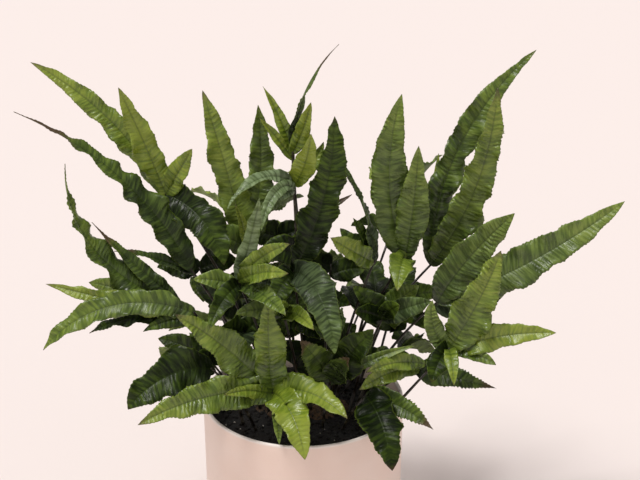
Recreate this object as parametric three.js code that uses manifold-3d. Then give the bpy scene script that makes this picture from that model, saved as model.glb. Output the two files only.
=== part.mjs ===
// A potted fern: a plain round pot, the soil in it, the fern's creeping rootstock and its fronds.
// Millimetres, +Z up. The origin is the centre of the pot's flat base.
// Each frond grew as one piece, so its stalk and its leaflets are joined into one solid.

import * as THREE from "three";
import { mergeVertices } from "three/addons/utils/BufferGeometryUtils.js";
import Module from "manifold-3d";

const wasm = await Module();
wasm.setup();

// ---------- driving dimensions ----------

const GAP = 0.3; // air kept between pieces that touch in life

const POT_HEIGHT = 140;
const POT_RIM_RADIUS = 75;
const POT_BASE_RADIUS = 73.2;
const POT_FOOT_ROUND = 4;
const POT_FLOOR = 7;
const POT_WALL = 4.5;
const LIP_WIDTH = 2.6;
const LIP_DEPTH = 6;
const POT_SIDES = 36;

const SOIL_TOP = 126;
const SOIL_CROWN = 3; // how far the middle of the soil stands above its edge

const ROOTSTOCK_KNOBS = [
  { at: [-30, 2, 122], radius: 10 },
  { at: [-17, -6, 124], radius: 12 },
  { at: [-2, 0, 125], radius: 13 },
  { at: [13, -6, 124], radius: 12 },
  { at: [26, 6, 123], radius: 11 },
  { at: [8, 14, 123], radius: 11 },
];
const ROOTSTOCK_FLATNESS = 0.8;

const STALK_RADIUS = 1.2;
const STALK_SIDES = 5;
const STALK_STEP = 22; // length of one straight stretch of a stalk
const STALK_DEPTH = 12; // how far a stalk goes down into the soil
const STALK_ROOM = 0.35; // air round a stalk where it stands in the soil

const BLADE_STATIONS = 7;
const BLADE_HALF_THICKNESS = 0.7;
const BLADE_FOLD = 0.22; // how far each half of a leaflet rises from its midrib, per unit of width
const BLADE_SHOULDER = 0.55; // how gently a leaflet widens from its foot: 0 is square, 1 is straight
const BLADE_TAPER = 0.85; // and how gently it narrows to its tip
const BLADE_LIFT = 0.6; // how far a leaflet's upper side looks upwards as well as sideways
const LEAFLET_FOOT = 0.985; // leaflets leave the stalk just short of its end unless at says otherwise

const ARCH_STEPS = 8;

// The fronds. Angles are in degrees: a heading is a compass angle, where 0 is +X, 90 is +Y, the back,
// and -90 is the front. A stalk or a leaflet sets out at its rise above the horizontal and finishes
// at its end. A leaflet's upper side looks towards face, turn is its twist from foot to tip, at is
// its place along the stalk, and a taper above the usual one draws its tip out thin.
const FRONDS = [
  {
    name: "frond_left_high",
    root: [-24, 12],
    stalk: { heading: 165, rise: 80, end: 50, length: 187 },
    face: -90,
    leaflets: [
      { heading: 170, rise: 64, end: 26, length: 140, width: 18 },
      { heading: 190, rise: 72, end: 68, length: 92, width: 20, turn: 10 },
      { heading: -35, rise: 60, end: 58, length: 50, width: 17 },
      { heading: -40, rise: 5, end: -75, length: 75, width: 28 },
      { heading: 200, rise: 0, end: -30, length: 26, width: 12, at: 0.96 },
      { heading: 80, rise: 30, end: -20, length: 46, width: 20, at: 0.7 },
    ],
  },
  {
    name: "frond_left_long",
    root: [-32, 0],
    stalk: { heading: 180, rise: 82, end: 55, length: 131 },
    face: -80,
    leaflets: [
      { heading: 178, rise: 67, end: 23, length: 178, width: 22, turn: 70, taper: 1.4 },
      { heading: 185, rise: 35, end: 5, length: 62, width: 9, turn: 60, at: 0.96 },
      { heading: 115, rise: 30, end: -20, length: 36, width: 17, at: 0.75 },
    ],
  },
  {
    name: "frond_left_middle",
    root: [-40, -10],
    stalk: { heading: 197, rise: 80, end: 50, length: 122 },
    face: -85,
    leaflets: [
      { heading: 178, rise: 14, end: 95, length: 142, width: 23, turn: 90, taper: 1.2 },
      { heading: 172, rise: 40, end: 48, length: 84, width: 13, turn: 40, taper: 1.4 },
      { heading: 163, rise: 10, end: 2, length: 72, width: 23, turn: -15, at: 0.95 },
    ],
  },
  {
    name: "frond_left_low",
    root: [-44, -22],
    stalk: { heading: 218, rise: 80, end: 60, length: 117 },
    face: -92,
    leaflets: [
      { heading: 185, rise: 30, end: -55, length: 122, width: 21, turn: 20 },
      { heading: 170, rise: 6, end: 11, length: 112, width: 14, at: 0.96 },
      { heading: 172, rise: 12, end: -35, length: 85, width: 15, turn: 50, at: 0.93 },
      { heading: 200, rise: 20, end: -30, length: 42, width: 11, at: 0.95 },
    ],
  },
  {
    name: "frond_front_low",
    root: [-6, -26],
    stalk: { heading: 235, rise: 70, end: 50, length: 52 },
    face: -88,
    leaflets: [
      { heading: 192, rise: 56, end: 36, length: 100, width: 26 },
      { heading: -110, rise: 74, end: 98, length: 84, width: 22 },
      { heading: 212, rise: 24, end: -16, length: 112, width: 25 },
      { heading: -66, rise: 25, end: -70, length: 70, width: 27 },
      { heading: -40, rise: 38, end: -30, length: 74, width: 22, turn: -30 },
      { heading: -85, rise: 5, end: -70, length: 42, width: 8, at: 0.9 },
      { heading: 222, rise: 38, end: 5, length: 52, width: 11, at: 0.92 },
    ],
  },
  {
    name: "frond_middle",
    root: [6, -6],
    stalk: { heading: 180, rise: 84, end: 84, length: 122 },
    face: -90,
    leaflets: [
      { heading: 12, rise: 62, end: 90, length: 125, width: 27, turn: 10 },
      { heading: -65, rise: 30, end: -80, length: 90, width: 27 },
      { heading: 243, rise: 10, end: -60, length: 42, width: 20 },
      { heading: -15, rise: 25, end: -40, length: 18, width: 16, at: 0.55 },
      { heading: 205, rise: 25, end: -30, length: 26, width: 18, at: 0.5 },
    ],
  },
  {
    name: "frond_left_centre",
    root: [-16, -12],
    stalk: { heading: 210, rise: 82, end: 68, length: 132 },
    face: -75,
    leaflets: [
      { heading: -45, rise: 68, end: 76, length: 76, width: 13 },
      { heading: -43, rise: 55, end: 28, length: 70, width: 14 },
      { heading: -47, rise: 38, end: 12, length: 60, width: 13 },
      { heading: -57, rise: 20, end: -15, length: 62, width: 15, at: 0.95 },
      { heading: 242, rise: 10, end: -50, length: 48, width: 16, at: 0.96 },
      { heading: 190, rise: 30, end: 0, length: 36, width: 15, at: 0.94 },
      { heading: -20, rise: 20, end: -40, length: 22, width: 18, at: 0.66 },
    ],
  },
  {
    name: "frond_left_back_high",
    root: [-12, 14],
    stalk: { heading: 155, rise: 82, end: 70, length: 128 },
    face: -90,
    leaflets: [
      { heading: 168, rise: 77, end: 74, length: 128, width: 23 },
      { heading: 45, rise: 70, end: 98, length: 114, width: 22 },
      { heading: 216, rise: 50, end: 5, length: 52, width: 20 },
      { heading: 247, rise: 70, end: 60, length: 62, width: 8, at: 0.93 },
      { heading: -30, rise: 10, end: -50, length: 44, width: 22, at: 0.8 },
      { heading: 190, rise: 20, end: -20, length: 32, width: 18, at: 0.78 },
    ],
  },
  {
    name: "frond_tall",
    root: [2, 10],
    stalk: { heading: 130, rise: 85, end: 87, length: 206 },
    face: -85,
    leaflets: [
      { heading: 15, rise: 92, end: 42, length: 90, width: 10, turn: 160, taper: 1.6 },
      { heading: -43, rise: 62, end: 74, length: 48, width: 12 },
      { heading: 160, rise: 74, end: 56, length: 54, width: 10, taper: 1.2 },
      { heading: 190, rise: 60, end: 50, length: 42, width: 7, at: 0.96 },
      { heading: 210, rise: 35, end: -20, length: 38, width: 20, at: 0.62 },
      { heading: 60, rise: 40, end: 0, length: 45, width: 20, at: 0.6 },
      { heading: 170, rise: 35, end: -10, length: 34, width: 20, at: 0.42 },
    ],
  },
  {
    name: "frond_young",
    root: [10, 8],
    stalk: { heading: 190, rise: 85, end: 85, length: 188 },
    face: -85,
    leaflets: [
      { heading: -55, rise: 50, end: 82, length: 52, width: 17 },
      { heading: 22, rise: 38, end: 68, length: 38, width: 11 },
      { heading: 218, rise: 50, end: -55, length: 68, width: 11, turn: 60 },
      { heading: 235, rise: 25, end: -30, length: 46, width: 9, at: 0.96 },
      { heading: 240, rise: 45, end: -80, length: 60, width: 9, at: 0.97 },
      { heading: 20, rise: 8, end: 26, length: 44, width: 6, at: 0.85 },
      { heading: -5, rise: 30, end: -30, length: 34, width: 18, at: 0.5 },
    ],
  },
  {
    name: "frond_right_twisted",
    root: [20, 10],
    stalk: { heading: 10, rise: 82, end: 68, length: 124 },
    face: -75,
    leaflets: [
      { heading: 165, rise: 88, end: 54, length: 84, width: 13, turn: 140 },
      { heading: 223, rise: 36, end: 40, length: 56, width: 18 },
      { heading: 200, rise: 75, end: 58, length: 42, width: 11, turn: 30 },
      { heading: 140, rise: 45, end: 30, length: 38, width: 19, at: 0.95 },
      { heading: 105, rise: 30, end: -20, length: 32, width: 18, at: 0.7 },
    ],
  },
  {
    name: "frond_right_upright",
    root: [24, 18],
    stalk: { heading: 12, rise: 78, end: 54, length: 128 },
    face: -88,
    leaflets: [
      { heading: 10, rise: 110, end: 74, length: 134, width: 28 },
      { heading: -60, rise: 76, end: 86, length: 98, width: 23 },
      { heading: 260, rise: 40, end: -60, length: 46, width: 19 },
      { heading: -70, rise: 15, end: -45, length: 36, width: 18, at: 0.72 },
      { heading: 95, rise: 40, end: 0, length: 44, width: 20, at: 0.7 },
    ],
  },
  {
    name: "frond_right_high",
    root: [30, 22],
    stalk: { heading: 18, rise: 72, end: 42, length: 126 },
    face: -88,
    leaflets: [
      { heading: 15, rise: 92, end: 38, length: 188, width: 21 },
      { heading: -30, rise: 56, end: 88, length: 162, width: 26 },
      { heading: 80, rise: 70, end: 65, length: 84, width: 10 },
      { heading: -50, rise: 10, end: -40, length: 34, width: 17, at: 0.7 },
      { heading: 85, rise: 40, end: -10, length: 50, width: 20, at: 0.75 },
    ],
  },
  {
    name: "frond_right_middle",
    root: [38, 2],
    stalk: { heading: 12, rise: 72, end: 38, length: 108 },
    face: -86,
    leaflets: [
      { heading: -12, rise: 64, end: 46, length: 96, width: 27 },
      { heading: 8, rise: 18, end: 38, length: 158, width: 29 },
      { heading: 24, rise: -15, end: 20, length: 66, width: 21, at: 0.95 },
    ],
  },
  {
    name: "frond_right_low",
    root: [56, -20],
    stalk: { heading: -8, rise: 55, end: 52, length: 86 },
    face: -85,
    leaflets: [
      { heading: -10, rise: 60, end: 74, length: 90, width: 29 },
      { heading: -8, rise: 26, end: 2, length: 80, width: 19 },
      { heading: -24, rise: 15, end: -30, length: 38, width: 13 },
      { heading: -85, rise: 20, end: -70, length: 36, width: 10 },
      { heading: 190, rise: 45, end: 100, length: 45, width: 14 },
      { heading: 244, rise: 15, end: -60, length: 35, width: 18 },
    ],
  },
  {
    name: "frond_right_front",
    root: [38, -8],
    stalk: { heading: -8, rise: 68, end: 24, length: 74 },
    face: -82,
    leaflets: [
      { heading: 213, rise: 30, end: -10, length: 55, width: 12 },
      { heading: 215, rise: 16, end: -20, length: 56, width: 16, at: 0.93 },
      { heading: -10, rise: -8, end: -12, length: 62, width: 19, at: 0.88, taper: 1.2 },
    ],
  },
  {
    name: "frond_front_right",
    root: [28, -30],
    stalk: { heading: -40, rise: 75, end: 50, length: 46 },
    face: -85,
    leaflets: [
      { heading: -70, rise: 10, end: -72, length: 68, width: 30 },
      { heading: -30, rise: 8, end: -32, length: 58, width: 19, taper: 1.1 },
    ],
  },
  {
    name: "frond_front_middle",
    root: [14, -26],
    stalk: { heading: -45, rise: 85, end: 75, length: 46 },
    face: -88,
    leaflets: [
      { heading: 211, rise: 65, end: 50, length: 48, width: 24 },
      { heading: -66, rise: 55, end: 40, length: 48, width: 20 },
      { heading: -18, rise: 62, end: 50, length: 58, width: 27 },
      { heading: 5, rise: 38, end: 12, length: 70, width: 8, at: 0.93 },
    ],
  },
  {
    name: "frond_front_left",
    root: [-34, -30],
    stalk: { heading: 210, rise: 74, end: 50, length: 74 },
    face: -88,
    leaflets: [
      { heading: 208, rise: 24, end: -50, length: 73, width: 31 },
      { heading: 180, rise: 30, end: -30, length: 42, width: 12, at: 0.95 },
    ],
  },
  {
    name: "frond_middle_low",
    root: [2, -18],
    stalk: { heading: 217, rise: 83, end: 75, length: 102 },
    face: -90,
    leaflets: [
      { heading: -61, rise: 35, end: -15, length: 48, width: 14 },
      { heading: -95, rise: 45, end: 35, length: 40, width: 14 },
      { heading: 190, rise: 30, end: -20, length: 36, width: 15 },
      { heading: -10, rise: 20, end: -40, length: 26, width: 17, at: 0.55 },
    ],
  },
  {
    name: "frond_inner_left",
    root: [-25, -5],
    stalk: { heading: 195, rise: 82, end: 70, length: 76 },
    face: -90,
    leaflets: [
      { heading: 225, rise: 40, end: 20, length: 26, width: 20 },
      { heading: 70, rise: 45, end: 20, length: 28, width: 18 },
      { heading: -10, rise: 50, end: 30, length: 34, width: 20 },
      { heading: 265, rise: 20, end: -50, length: 30, width: 20 },
    ],
  },
  {
    name: "frond_inner_middle",
    root: [18, -8],
    stalk: { heading: -100, rise: 85, end: 80, length: 82 },
    face: -90,
    leaflets: [
      { heading: 200, rise: 30, end: -10, length: 24, width: 20 },
      { heading: -92, rise: 35, end: -15, length: 24, width: 22 },
      { heading: 0, rise: 40, end: 20, length: 18, width: 16 },
      { heading: 90, rise: 60, end: 30, length: 28, width: 20 },
    ],
  },
  {
    name: "frond_inner_right",
    root: [34, -2],
    stalk: { heading: 0, rise: 80, end: 68, length: 84 },
    face: -80,
    leaflets: [
      { heading: -20, rise: 40, end: 20, length: 44, width: 18 },
      { heading: -60, rise: 55, end: 30, length: 34, width: 15 },
      { heading: 215, rise: 45, end: 10, length: 28, width: 17 },
      { heading: 170, rise: 60, end: 40, length: 34, width: 17 },
      { heading: 25, rise: 50, end: 20, length: 38, width: 19 },
    ],
  },
  {
    name: "frond_inner_right_low",
    root: [46, -4],
    stalk: { heading: 10, rise: 78, end: 60, length: 46 },
    face: -80,
    leaflets: [
      { heading: -75, rise: 35, end: -10, length: 22, width: 18, at: 0.94 },
      { heading: -5, rise: 40, end: 5, length: 18, width: 15 },
      { heading: 145, rise: 45, end: 20, length: 24, width: 15, at: 0.9 },
      { heading: 235, rise: 60, end: 45, length: 26, width: 17 },
    ],
  },
  {
    name: "frond_inner_left_low",
    root: [-46, 0],
    stalk: { heading: 185, rise: 76, end: 55, length: 48 },
    face: -100,
    leaflets: [
      { heading: 235, rise: 30, end: -20, length: 34, width: 20 },
      { heading: 165, rise: 40, end: 0, length: 46, width: 22 },
      { heading: 20, rise: 50, end: 20, length: 28, width: 18 },
    ],
  },
  {
    name: "frond_heart_right",
    root: [22, 24],
    stalk: { heading: 60, rise: 82, end: 78, length: 46 },
    face: -90,
    leaflets: [
      { heading: 205, rise: 30, end: 0, length: 26, width: 20 },
      { heading: 20, rise: 50, end: 30, length: 20, width: 18, at: 0.94 },
    ],
  },
  {
    name: "frond_heart_left",
    root: [-42, 27],
    stalk: { heading: 110, rise: 83, end: 78, length: 68 },
    face: -90,
    leaflets: [
      { heading: 195, rise: 30, end: 0, length: 28, width: 20 },
      { heading: 15, rise: 30, end: 10, length: 22, width: 18, at: 0.92 },
    ],
  },
  {
    name: "frond_heart_high",
    root: [14, 30],
    stalk: { heading: 60, rise: 86, end: 80, length: 104 },
    face: -90,
    leaflets: [
      { heading: 200, rise: 30, end: 10, length: 24, width: 20 },
      { heading: 10, rise: 30, end: -15, length: 28, width: 20, at: 0.92 },
    ],
  },
  {
    name: "frond_heart_side",
    root: [50, 14],
    stalk: { heading: 20, rise: 82, end: 74, length: 70 },
    face: -90,
    leaflets: [
      { heading: 200, rise: 25, end: 5, length: 22, width: 19 },
      { heading: -80, rise: 35, end: -10, length: 20, width: 18 },
      { heading: -30, rise: 10, end: -40, length: 15, width: 18 },
    ],
  },
  {
    name: "frond_heart_low",
    root: [-16, 24],
    stalk: { heading: 120, rise: 84, end: 78, length: 54 },
    face: -90,
    leaflets: [
      { heading: 195, rise: 45, end: 20, length: 26, width: 19 },
      { heading: -55, rise: 35, end: -10, length: 16, width: 18 },
      { heading: 0, rise: 20, end: -10, length: 24, width: 19 },
    ],
  },
  {
    name: "frond_heart_far_right",
    root: [42, 36],
    stalk: { heading: 20, rise: 76, end: 64, length: 76 },
    face: -90,
    leaflets: [
      { heading: 185, rise: 15, end: -20, length: 30, width: 20 },
      { heading: 15, rise: 20, end: -15, length: 40, width: 20 },
    ],
  },
  {
    name: "frond_heart_far_left",
    root: [-44, 36],
    stalk: { heading: 160, rise: 78, end: 62, length: 104 },
    face: -90,
    leaflets: [
      { heading: 195, rise: 30, end: -10, length: 34, width: 20 },
      { heading: 0, rise: 30, end: 0, length: 30, width: 20 },
      { heading: -90, rise: 10, end: -50, length: 26, width: 18, at: 0.92 },
    ],
  },
  {
    name: "frond_heart_top",
    root: [-20, 34],
    stalk: { heading: 60, rise: 88, end: 86, length: 128 },
    face: -90,
    leaflets: [
      { heading: 195, rise: 30, end: 0, length: 28, width: 20 },
      { heading: 0, rise: 35, end: 10, length: 24, width: 20 },
      { heading: -90, rise: 30, end: -20, length: 18, width: 18, at: 0.93 },
    ],
  },
  {
    name: "frond_back_left_high",
    root: [-14, 44],
    stalk: { heading: 128, rise: 76, end: 58, length: 120 },
    face: 90,
    leaflets: [
      { heading: 125, rise: 30, end: -20, length: 85, width: 25 },
      { heading: 82, rise: 35, end: -15, length: 76, width: 24 },
      { heading: 42, rise: 40, end: -10, length: 62, width: 22 },
      { heading: 170, rise: 20, end: -40, length: 36, width: 18 },
      { heading: 60, rise: 20, end: -30, length: 38, width: 20, at: 0.62 },
    ],
  },
  {
    name: "frond_back_right_high",
    root: [34, 42],
    stalk: { heading: 50, rise: 76, end: 56, length: 122 },
    face: 90,
    leaflets: [
      { heading: 58, rise: 50, end: 0, length: 92, width: 26 },
      { heading: 18, rise: 45, end: 15, length: 80, width: 24 },
      { heading: 100, rise: 50, end: -10, length: 80, width: 24 },
      { heading: 150, rise: 30, end: -30, length: 36, width: 18 },
      { heading: 0, rise: 20, end: -30, length: 38, width: 20, at: 0.6 },
      { heading: 120, rise: 20, end: -30, length: 38, width: 20, at: 0.62 },
    ],
  },
  {
    name: "frond_back_middle",
    root: [-6, 30],
    stalk: { heading: 100, rise: 80, end: 62, length: 92 },
    face: 90,
    leaflets: [
      { heading: 125, rise: 40, end: -30, length: 70, width: 24 },
      { heading: 92, rise: 40, end: -35, length: 84, width: 24 },
      { heading: 50, rise: 20, end: -50, length: 72, width: 22 },
      { heading: 200, rise: 40, end: 20, length: 24, width: 16 },
      { heading: 20, rise: 20, end: -40, length: 34, width: 20, at: 0.65 },
      { heading: 170, rise: 20, end: -40, length: 22, width: 18, at: 0.6 },
    ],
  },
  {
    name: "frond_back_left",
    root: [-26, 30],
    stalk: { heading: 135, rise: 75, end: 50, length: 68 },
    face: 105,
    leaflets: [
      { heading: 175, rise: 15, end: -35, length: 62, width: 20, at: 0.86 },
      { heading: 135, rise: 45, end: -20, length: 82, width: 24 },
      { heading: 85, rise: 20, end: -40, length: 66, width: 18, at: 0.92 },
    ],
  },
  {
    name: "frond_back_right",
    root: [24, 34],
    stalk: { heading: 60, rise: 72, end: 40, length: 62 },
    face: 75,
    leaflets: [
      { heading: 22, rise: 5, end: -45, length: 66, width: 22 },
      { heading: 52, rise: 10, end: -40, length: 84, width: 26 },
      { heading: 88, rise: 20, end: -40, length: 74, width: 22 },
    ],
  },
  {
    name: "frond_back_low_left",
    root: [-42, 22],
    stalk: { heading: 145, rise: 68, end: 30, length: 48 },
    face: 120,
    leaflets: [
      { heading: 165, rise: 0, end: -50, length: 42, width: 18 },
      { heading: 140, rise: 5, end: -60, length: 66, width: 23 },
      { heading: 112, rise: 5, end: -45, length: 56, width: 18 },
    ],
  },
  {
    name: "frond_back_low_right",
    root: [46, 24],
    stalk: { heading: 32, rise: 68, end: 30, length: 46 },
    face: 60,
    leaflets: [
      { heading: 15, rise: 0, end: -50, length: 44, width: 18 },
      { heading: 42, rise: 5, end: -60, length: 66, width: 23 },
      { heading: 72, rise: 5, end: -45, length: 54, width: 18 },
    ],
  },
  {
    name: "frond_back_low",
    root: [2, 50],
    stalk: { heading: 92, rise: 70, end: 25, length: 50 },
    face: 90,
    leaflets: [
      { heading: 120, rise: 5, end: -60, length: 70, width: 22 },
      { heading: 88, rise: 10, end: -70, length: 76, width: 25 },
      { heading: 55, rise: 0, end: -55, length: 62, width: 20 },
    ],
  },
];

// ---------- colours ----------

const COLOURS = {
  pot: { color: 0xe6cfc4, roughness: 0.45, metalness: 0 },
  soil: { color: 0x1d1512, roughness: 0.95, metalness: 0 },
  rootstock: { color: 0x2c2018, roughness: 0.9, metalness: 0 },
  frond: { color: 0x4f7032, roughness: 0.5, metalness: 0 },
};

// ---------- solids ----------

// A closed mesh as a manifold-3d solid.
function solid(geometry) {
  const plain = geometry.index ? geometry.toNonIndexed() : geometry.clone();
  plain.deleteAttribute("normal");
  plain.deleteAttribute("uv");
  const merged = mergeVertices(plain, 1e-3);
  const triVerts = new Uint32Array(merged.index.array);
  const vertProperties = merged.attributes.position.array;
  return new wasm.Manifold(new wasm.Mesh({ numProp: 3, vertProperties, triVerts }));
}

// A manifold-3d solid as a three.js geometry.
function geometryOf(body) {
  const mesh = body.getMesh();
  const geometry = new THREE.BufferGeometry();
  geometry.setAttribute("position", new THREE.BufferAttribute(mesh.vertProperties, 3));
  geometry.setIndex(new THREE.BufferAttribute(mesh.triVerts, 1));
  geometry.computeVertexNormals();
  return geometry;
}

// ---------- stalks and leaflets ----------

const radians = THREE.MathUtils.degToRad;

function direction(heading, rise) {
  const [compass, pitch] = [radians(heading), radians(rise)];
  const run = Math.cos(pitch);
  return new THREE.Vector3(run * Math.cos(compass), run * Math.sin(compass), Math.sin(pitch));
}

// The curve of a stalk or a leaflet, which bends evenly from its rise to its end.
function arch(start, { heading, rise, end, length }) {
  const points = [start.clone()];
  for (let step = 0; step < ARCH_STEPS; step += 1) {
    const share = (step + 0.5) / ARCH_STEPS;
    const stride = direction(heading, rise + (end - rise) * share);
    points.push(points.at(-1).clone().addScaledVector(stride, length / ARCH_STEPS));
  }
  return new THREE.CatmullRomCurve3(points);
}

// A stalk's curve, from depth below the soil's edge upwards.
function stalkCurve({ root, stalk }, depth) {
  const start = new THREE.Vector3(...root, SOIL_TOP);
  start.addScaledVector(direction(stalk.heading, stalk.rise), -depth);
  return arch(start, { ...stalk, length: stalk.length + depth });
}

function stalkTube(path, radius) {
  const outline = new THREE.Shape();
  for (let side = 0; side < STALK_SIDES; side += 1) {
    const angle = (side / STALK_SIDES) * 2 * Math.PI;
    const corner = [radius * Math.cos(angle), radius * Math.sin(angle)];
    if (side === 0) outline.moveTo(...corner);
    else outline.lineTo(...corner);
  }
  outline.closePath();
  const steps = Math.max(3, Math.round(path.getLength() / STALK_STEP));
  return solid(new THREE.ExtrudeGeometry(outline, { steps, extrudePath: path }));
}

// The share of a leaflet's full width at a place s between its foot, 0, and its tip, 1.
function fullness(s, taper) {
  const widest = BLADE_SHOULDER / (BLADE_SHOULDER + taper);
  const peak = widest ** BLADE_SHOULDER * (1 - widest) ** taper;
  return (s ** BLADE_SHOULDER * (1 - s) ** taper) / peak;
}

// The direction that a leaflet's upper side faces, square to its length.
function upperSide(along, face, turned) {
  const sky = new THREE.Vector3(Math.cos(radians(face)), Math.sin(radians(face)), BLADE_LIFT);
  sky.addScaledVector(along, -sky.dot(along)).normalize();
  return sky.applyAxisAngle(along, radians(turned));
}

// A leaflet is a four-sided ball drawn out along a curve: two sides are its margins,
// and the other two are its midrib above and below.
function leafletSolid(foot, leaflet, face) {
  const path = arch(foot, leaflet);
  const ball = new THREE.SphereGeometry(1, 4, BLADE_STATIONS);
  const places = ball.attributes.position;
  for (let i = 0; i < places.count; i += 1) {
    const s = Math.acos(THREE.MathUtils.clamp(places.getY(i), -1, 1)) / Math.PI;
    const ring = Math.max(Math.sin(Math.PI * s), 1e-6);
    const across = places.getX(i) / ring;
    const height = places.getZ(i) / ring;
    const along = path.getTangentAt(s);
    const up = upperSide(along, face, (leaflet.turn ?? 0) * s);
    const side = up.clone().cross(along);
    const halfWidth = (leaflet.width / 2) * fullness(s, leaflet.taper ?? BLADE_TAPER);
    const point = path.getPointAt(s);
    point.addScaledVector(side, across * halfWidth);
    point.addScaledVector(up, height * BLADE_HALF_THICKNESS * Math.min(1, ring * 3));
    point.addScaledVector(up, Math.abs(across) * halfWidth * BLADE_FOLD);
    places.setXYZ(i, point.x, point.y, point.z);
  }
  return solid(ball);
}

function frondSolid(frond) {
  const path = stalkCurve(frond, STALK_DEPTH);
  let body = stalkTube(path, STALK_RADIUS);
  for (const leaflet of frond.leaflets) {
    const foot = path.getPointAt(leaflet.at ?? LEAFLET_FOOT);
    body = body.add(leafletSolid(foot, leaflet, frond.face));
  }
  return body;
}

// ---------- pot, soil and rootstock ----------

function turned(profile) {
  const points = profile.map(([radius, height]) => new THREE.Vector2(radius, height));
  return solid(new THREE.LatheGeometry(points, POT_SIDES).rotateX(Math.PI / 2));
}

const potRadiusAt = (z) => POT_BASE_RADIUS + ((POT_RIM_RADIUS - POT_BASE_RADIUS) * z) / POT_HEIGHT;
const potInsideAt = (z) => potRadiusAt(z) - POT_WALL;

function potSolid() {
  const foot = [0, 1, 2, 3].map((step) => {
    const angle = (step / 3) * (Math.PI / 2);
    const radius = potRadiusAt(POT_FOOT_ROUND) - POT_FOOT_ROUND * (1 - Math.sin(angle));
    return [radius, POT_FOOT_ROUND * (1 - Math.cos(angle))];
  });
  const lipMiddle = POT_RIM_RADIUS - LIP_WIDTH / 2;
  const lip = [0, 1, 2, 3, 4].map((step) => {
    const angle = (step / 4) * Math.PI;
    const radius = lipMiddle + (LIP_WIDTH / 2) * Math.cos(angle);
    return [radius, POT_HEIGHT - (LIP_WIDTH / 2) * (1 - Math.sin(angle))];
  });
  return turned([
    [0, 0],
    ...foot,
    ...lip,
    [potInsideAt(POT_HEIGHT - LIP_DEPTH), POT_HEIGHT - LIP_DEPTH],
    [potInsideAt(POT_FLOOR + POT_FOOT_ROUND), POT_FLOOR + POT_FOOT_ROUND],
    [potInsideAt(POT_FLOOR) - POT_FOOT_ROUND, POT_FLOOR],
    [0, POT_FLOOR],
  ]);
}

function soilSolid() {
  const low = POT_FLOOR + GAP;
  const inside = (z) => potInsideAt(z) - GAP;
  return turned([
    [0, low],
    [inside(low) - POT_FOOT_ROUND, low],
    [inside(low + POT_FOOT_ROUND), low + POT_FOOT_ROUND],
    [inside(SOIL_TOP), SOIL_TOP],
    [inside(SOIL_TOP) * 0.6, SOIL_TOP + SOIL_CROWN * 0.7],
    [0, SOIL_TOP + SOIL_CROWN],
  ]);
}

function rootstockSolid(grow) {
  const knobs = ROOTSTOCK_KNOBS.map(({ at, radius }) => {
    const ball = new THREE.IcosahedronGeometry(radius + grow, 1);
    return solid(ball.scale(1, 1, ROOTSTOCK_FLATNESS).translate(...at));
  });
  return knobs.reduce((whole, knob) => whole.add(knob));
}

// ---------- the part ----------

const part = new THREE.Group();

function addPiece(name, body, colour) {
  const piece = new THREE.Mesh(geometryOf(body), new THREE.MeshStandardMaterial(COLOURS[colour]));
  piece.name = name;
  part.add(piece);
}

const sockets = FRONDS.map((frond) => {
  const path = stalkCurve(frond, STALK_DEPTH + STALK_ROOM);
  return stalkTube(path, STALK_RADIUS + STALK_ROOM);
});
const withSockets = (body) => sockets.reduce((left, socket) => left.subtract(socket), body);

addPiece("pot", potSolid(), "pot");
addPiece("soil", withSockets(soilSolid().subtract(rootstockSolid(GAP))), "soil");
addPiece("rootstock", withSockets(rootstockSolid(0)), "rootstock");
for (const frond of FRONDS) addPiece(frond.name, frondSolid(frond), "frond");

export default part;
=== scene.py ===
"""The looks of the potted fern: its leafy fronds, pot, soil, rootstock and the stage around them.

Everything is in metres in the frame's own axes: +Z is up and the pot's base stands on the floor.
"""

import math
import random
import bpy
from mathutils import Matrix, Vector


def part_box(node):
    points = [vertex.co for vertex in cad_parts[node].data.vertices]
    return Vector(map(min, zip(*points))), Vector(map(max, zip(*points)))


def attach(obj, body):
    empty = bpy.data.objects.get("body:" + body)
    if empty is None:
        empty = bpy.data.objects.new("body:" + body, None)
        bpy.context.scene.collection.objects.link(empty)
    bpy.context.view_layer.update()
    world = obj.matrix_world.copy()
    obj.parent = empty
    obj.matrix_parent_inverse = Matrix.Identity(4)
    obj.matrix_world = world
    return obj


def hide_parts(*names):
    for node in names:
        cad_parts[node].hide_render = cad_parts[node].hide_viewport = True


bl_info = {
    "name": "Potted fern",
    "version": (1, 0, 0),
    "blender": (4, 5, 0),
    "location": "View3D > Sidebar > Fern",
    "description": "Builds the looks of a potted fern around its packed frame",
    "category": "Object",
}

from typing import NamedTuple

import bmesh
import bpy
from bpy.props import FloatProperty, FloatVectorProperty, IntProperty, PointerProperty
from mathutils import Matrix, Vector, noise

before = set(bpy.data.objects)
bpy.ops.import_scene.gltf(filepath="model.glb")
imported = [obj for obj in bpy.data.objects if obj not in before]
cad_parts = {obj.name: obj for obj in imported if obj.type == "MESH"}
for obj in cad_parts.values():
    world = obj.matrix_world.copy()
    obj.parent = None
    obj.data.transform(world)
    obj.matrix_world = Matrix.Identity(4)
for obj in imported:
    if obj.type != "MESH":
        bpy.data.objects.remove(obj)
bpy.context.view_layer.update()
POT_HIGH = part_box("pot")[1]
SOIL_LOW, SOIL_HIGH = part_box("soil")

MM = 0.001
BODY = "root"

# ---------- the fronds, as the frame has them ----------
# Angles are in degrees: a heading is a compass angle, where 0 is +X, 90 is +Y, the back, and -90 is
# the front. A stalk or a leaflet sets out at its rise above the horizontal and finishes at its end.
# A leaflet's upper side looks towards its frond's face, turn is its twist from foot to tip, at is
# its place along the stalk, and a taper above the usual one draws its tip out thin. Lengths are in
# mm.

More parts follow.
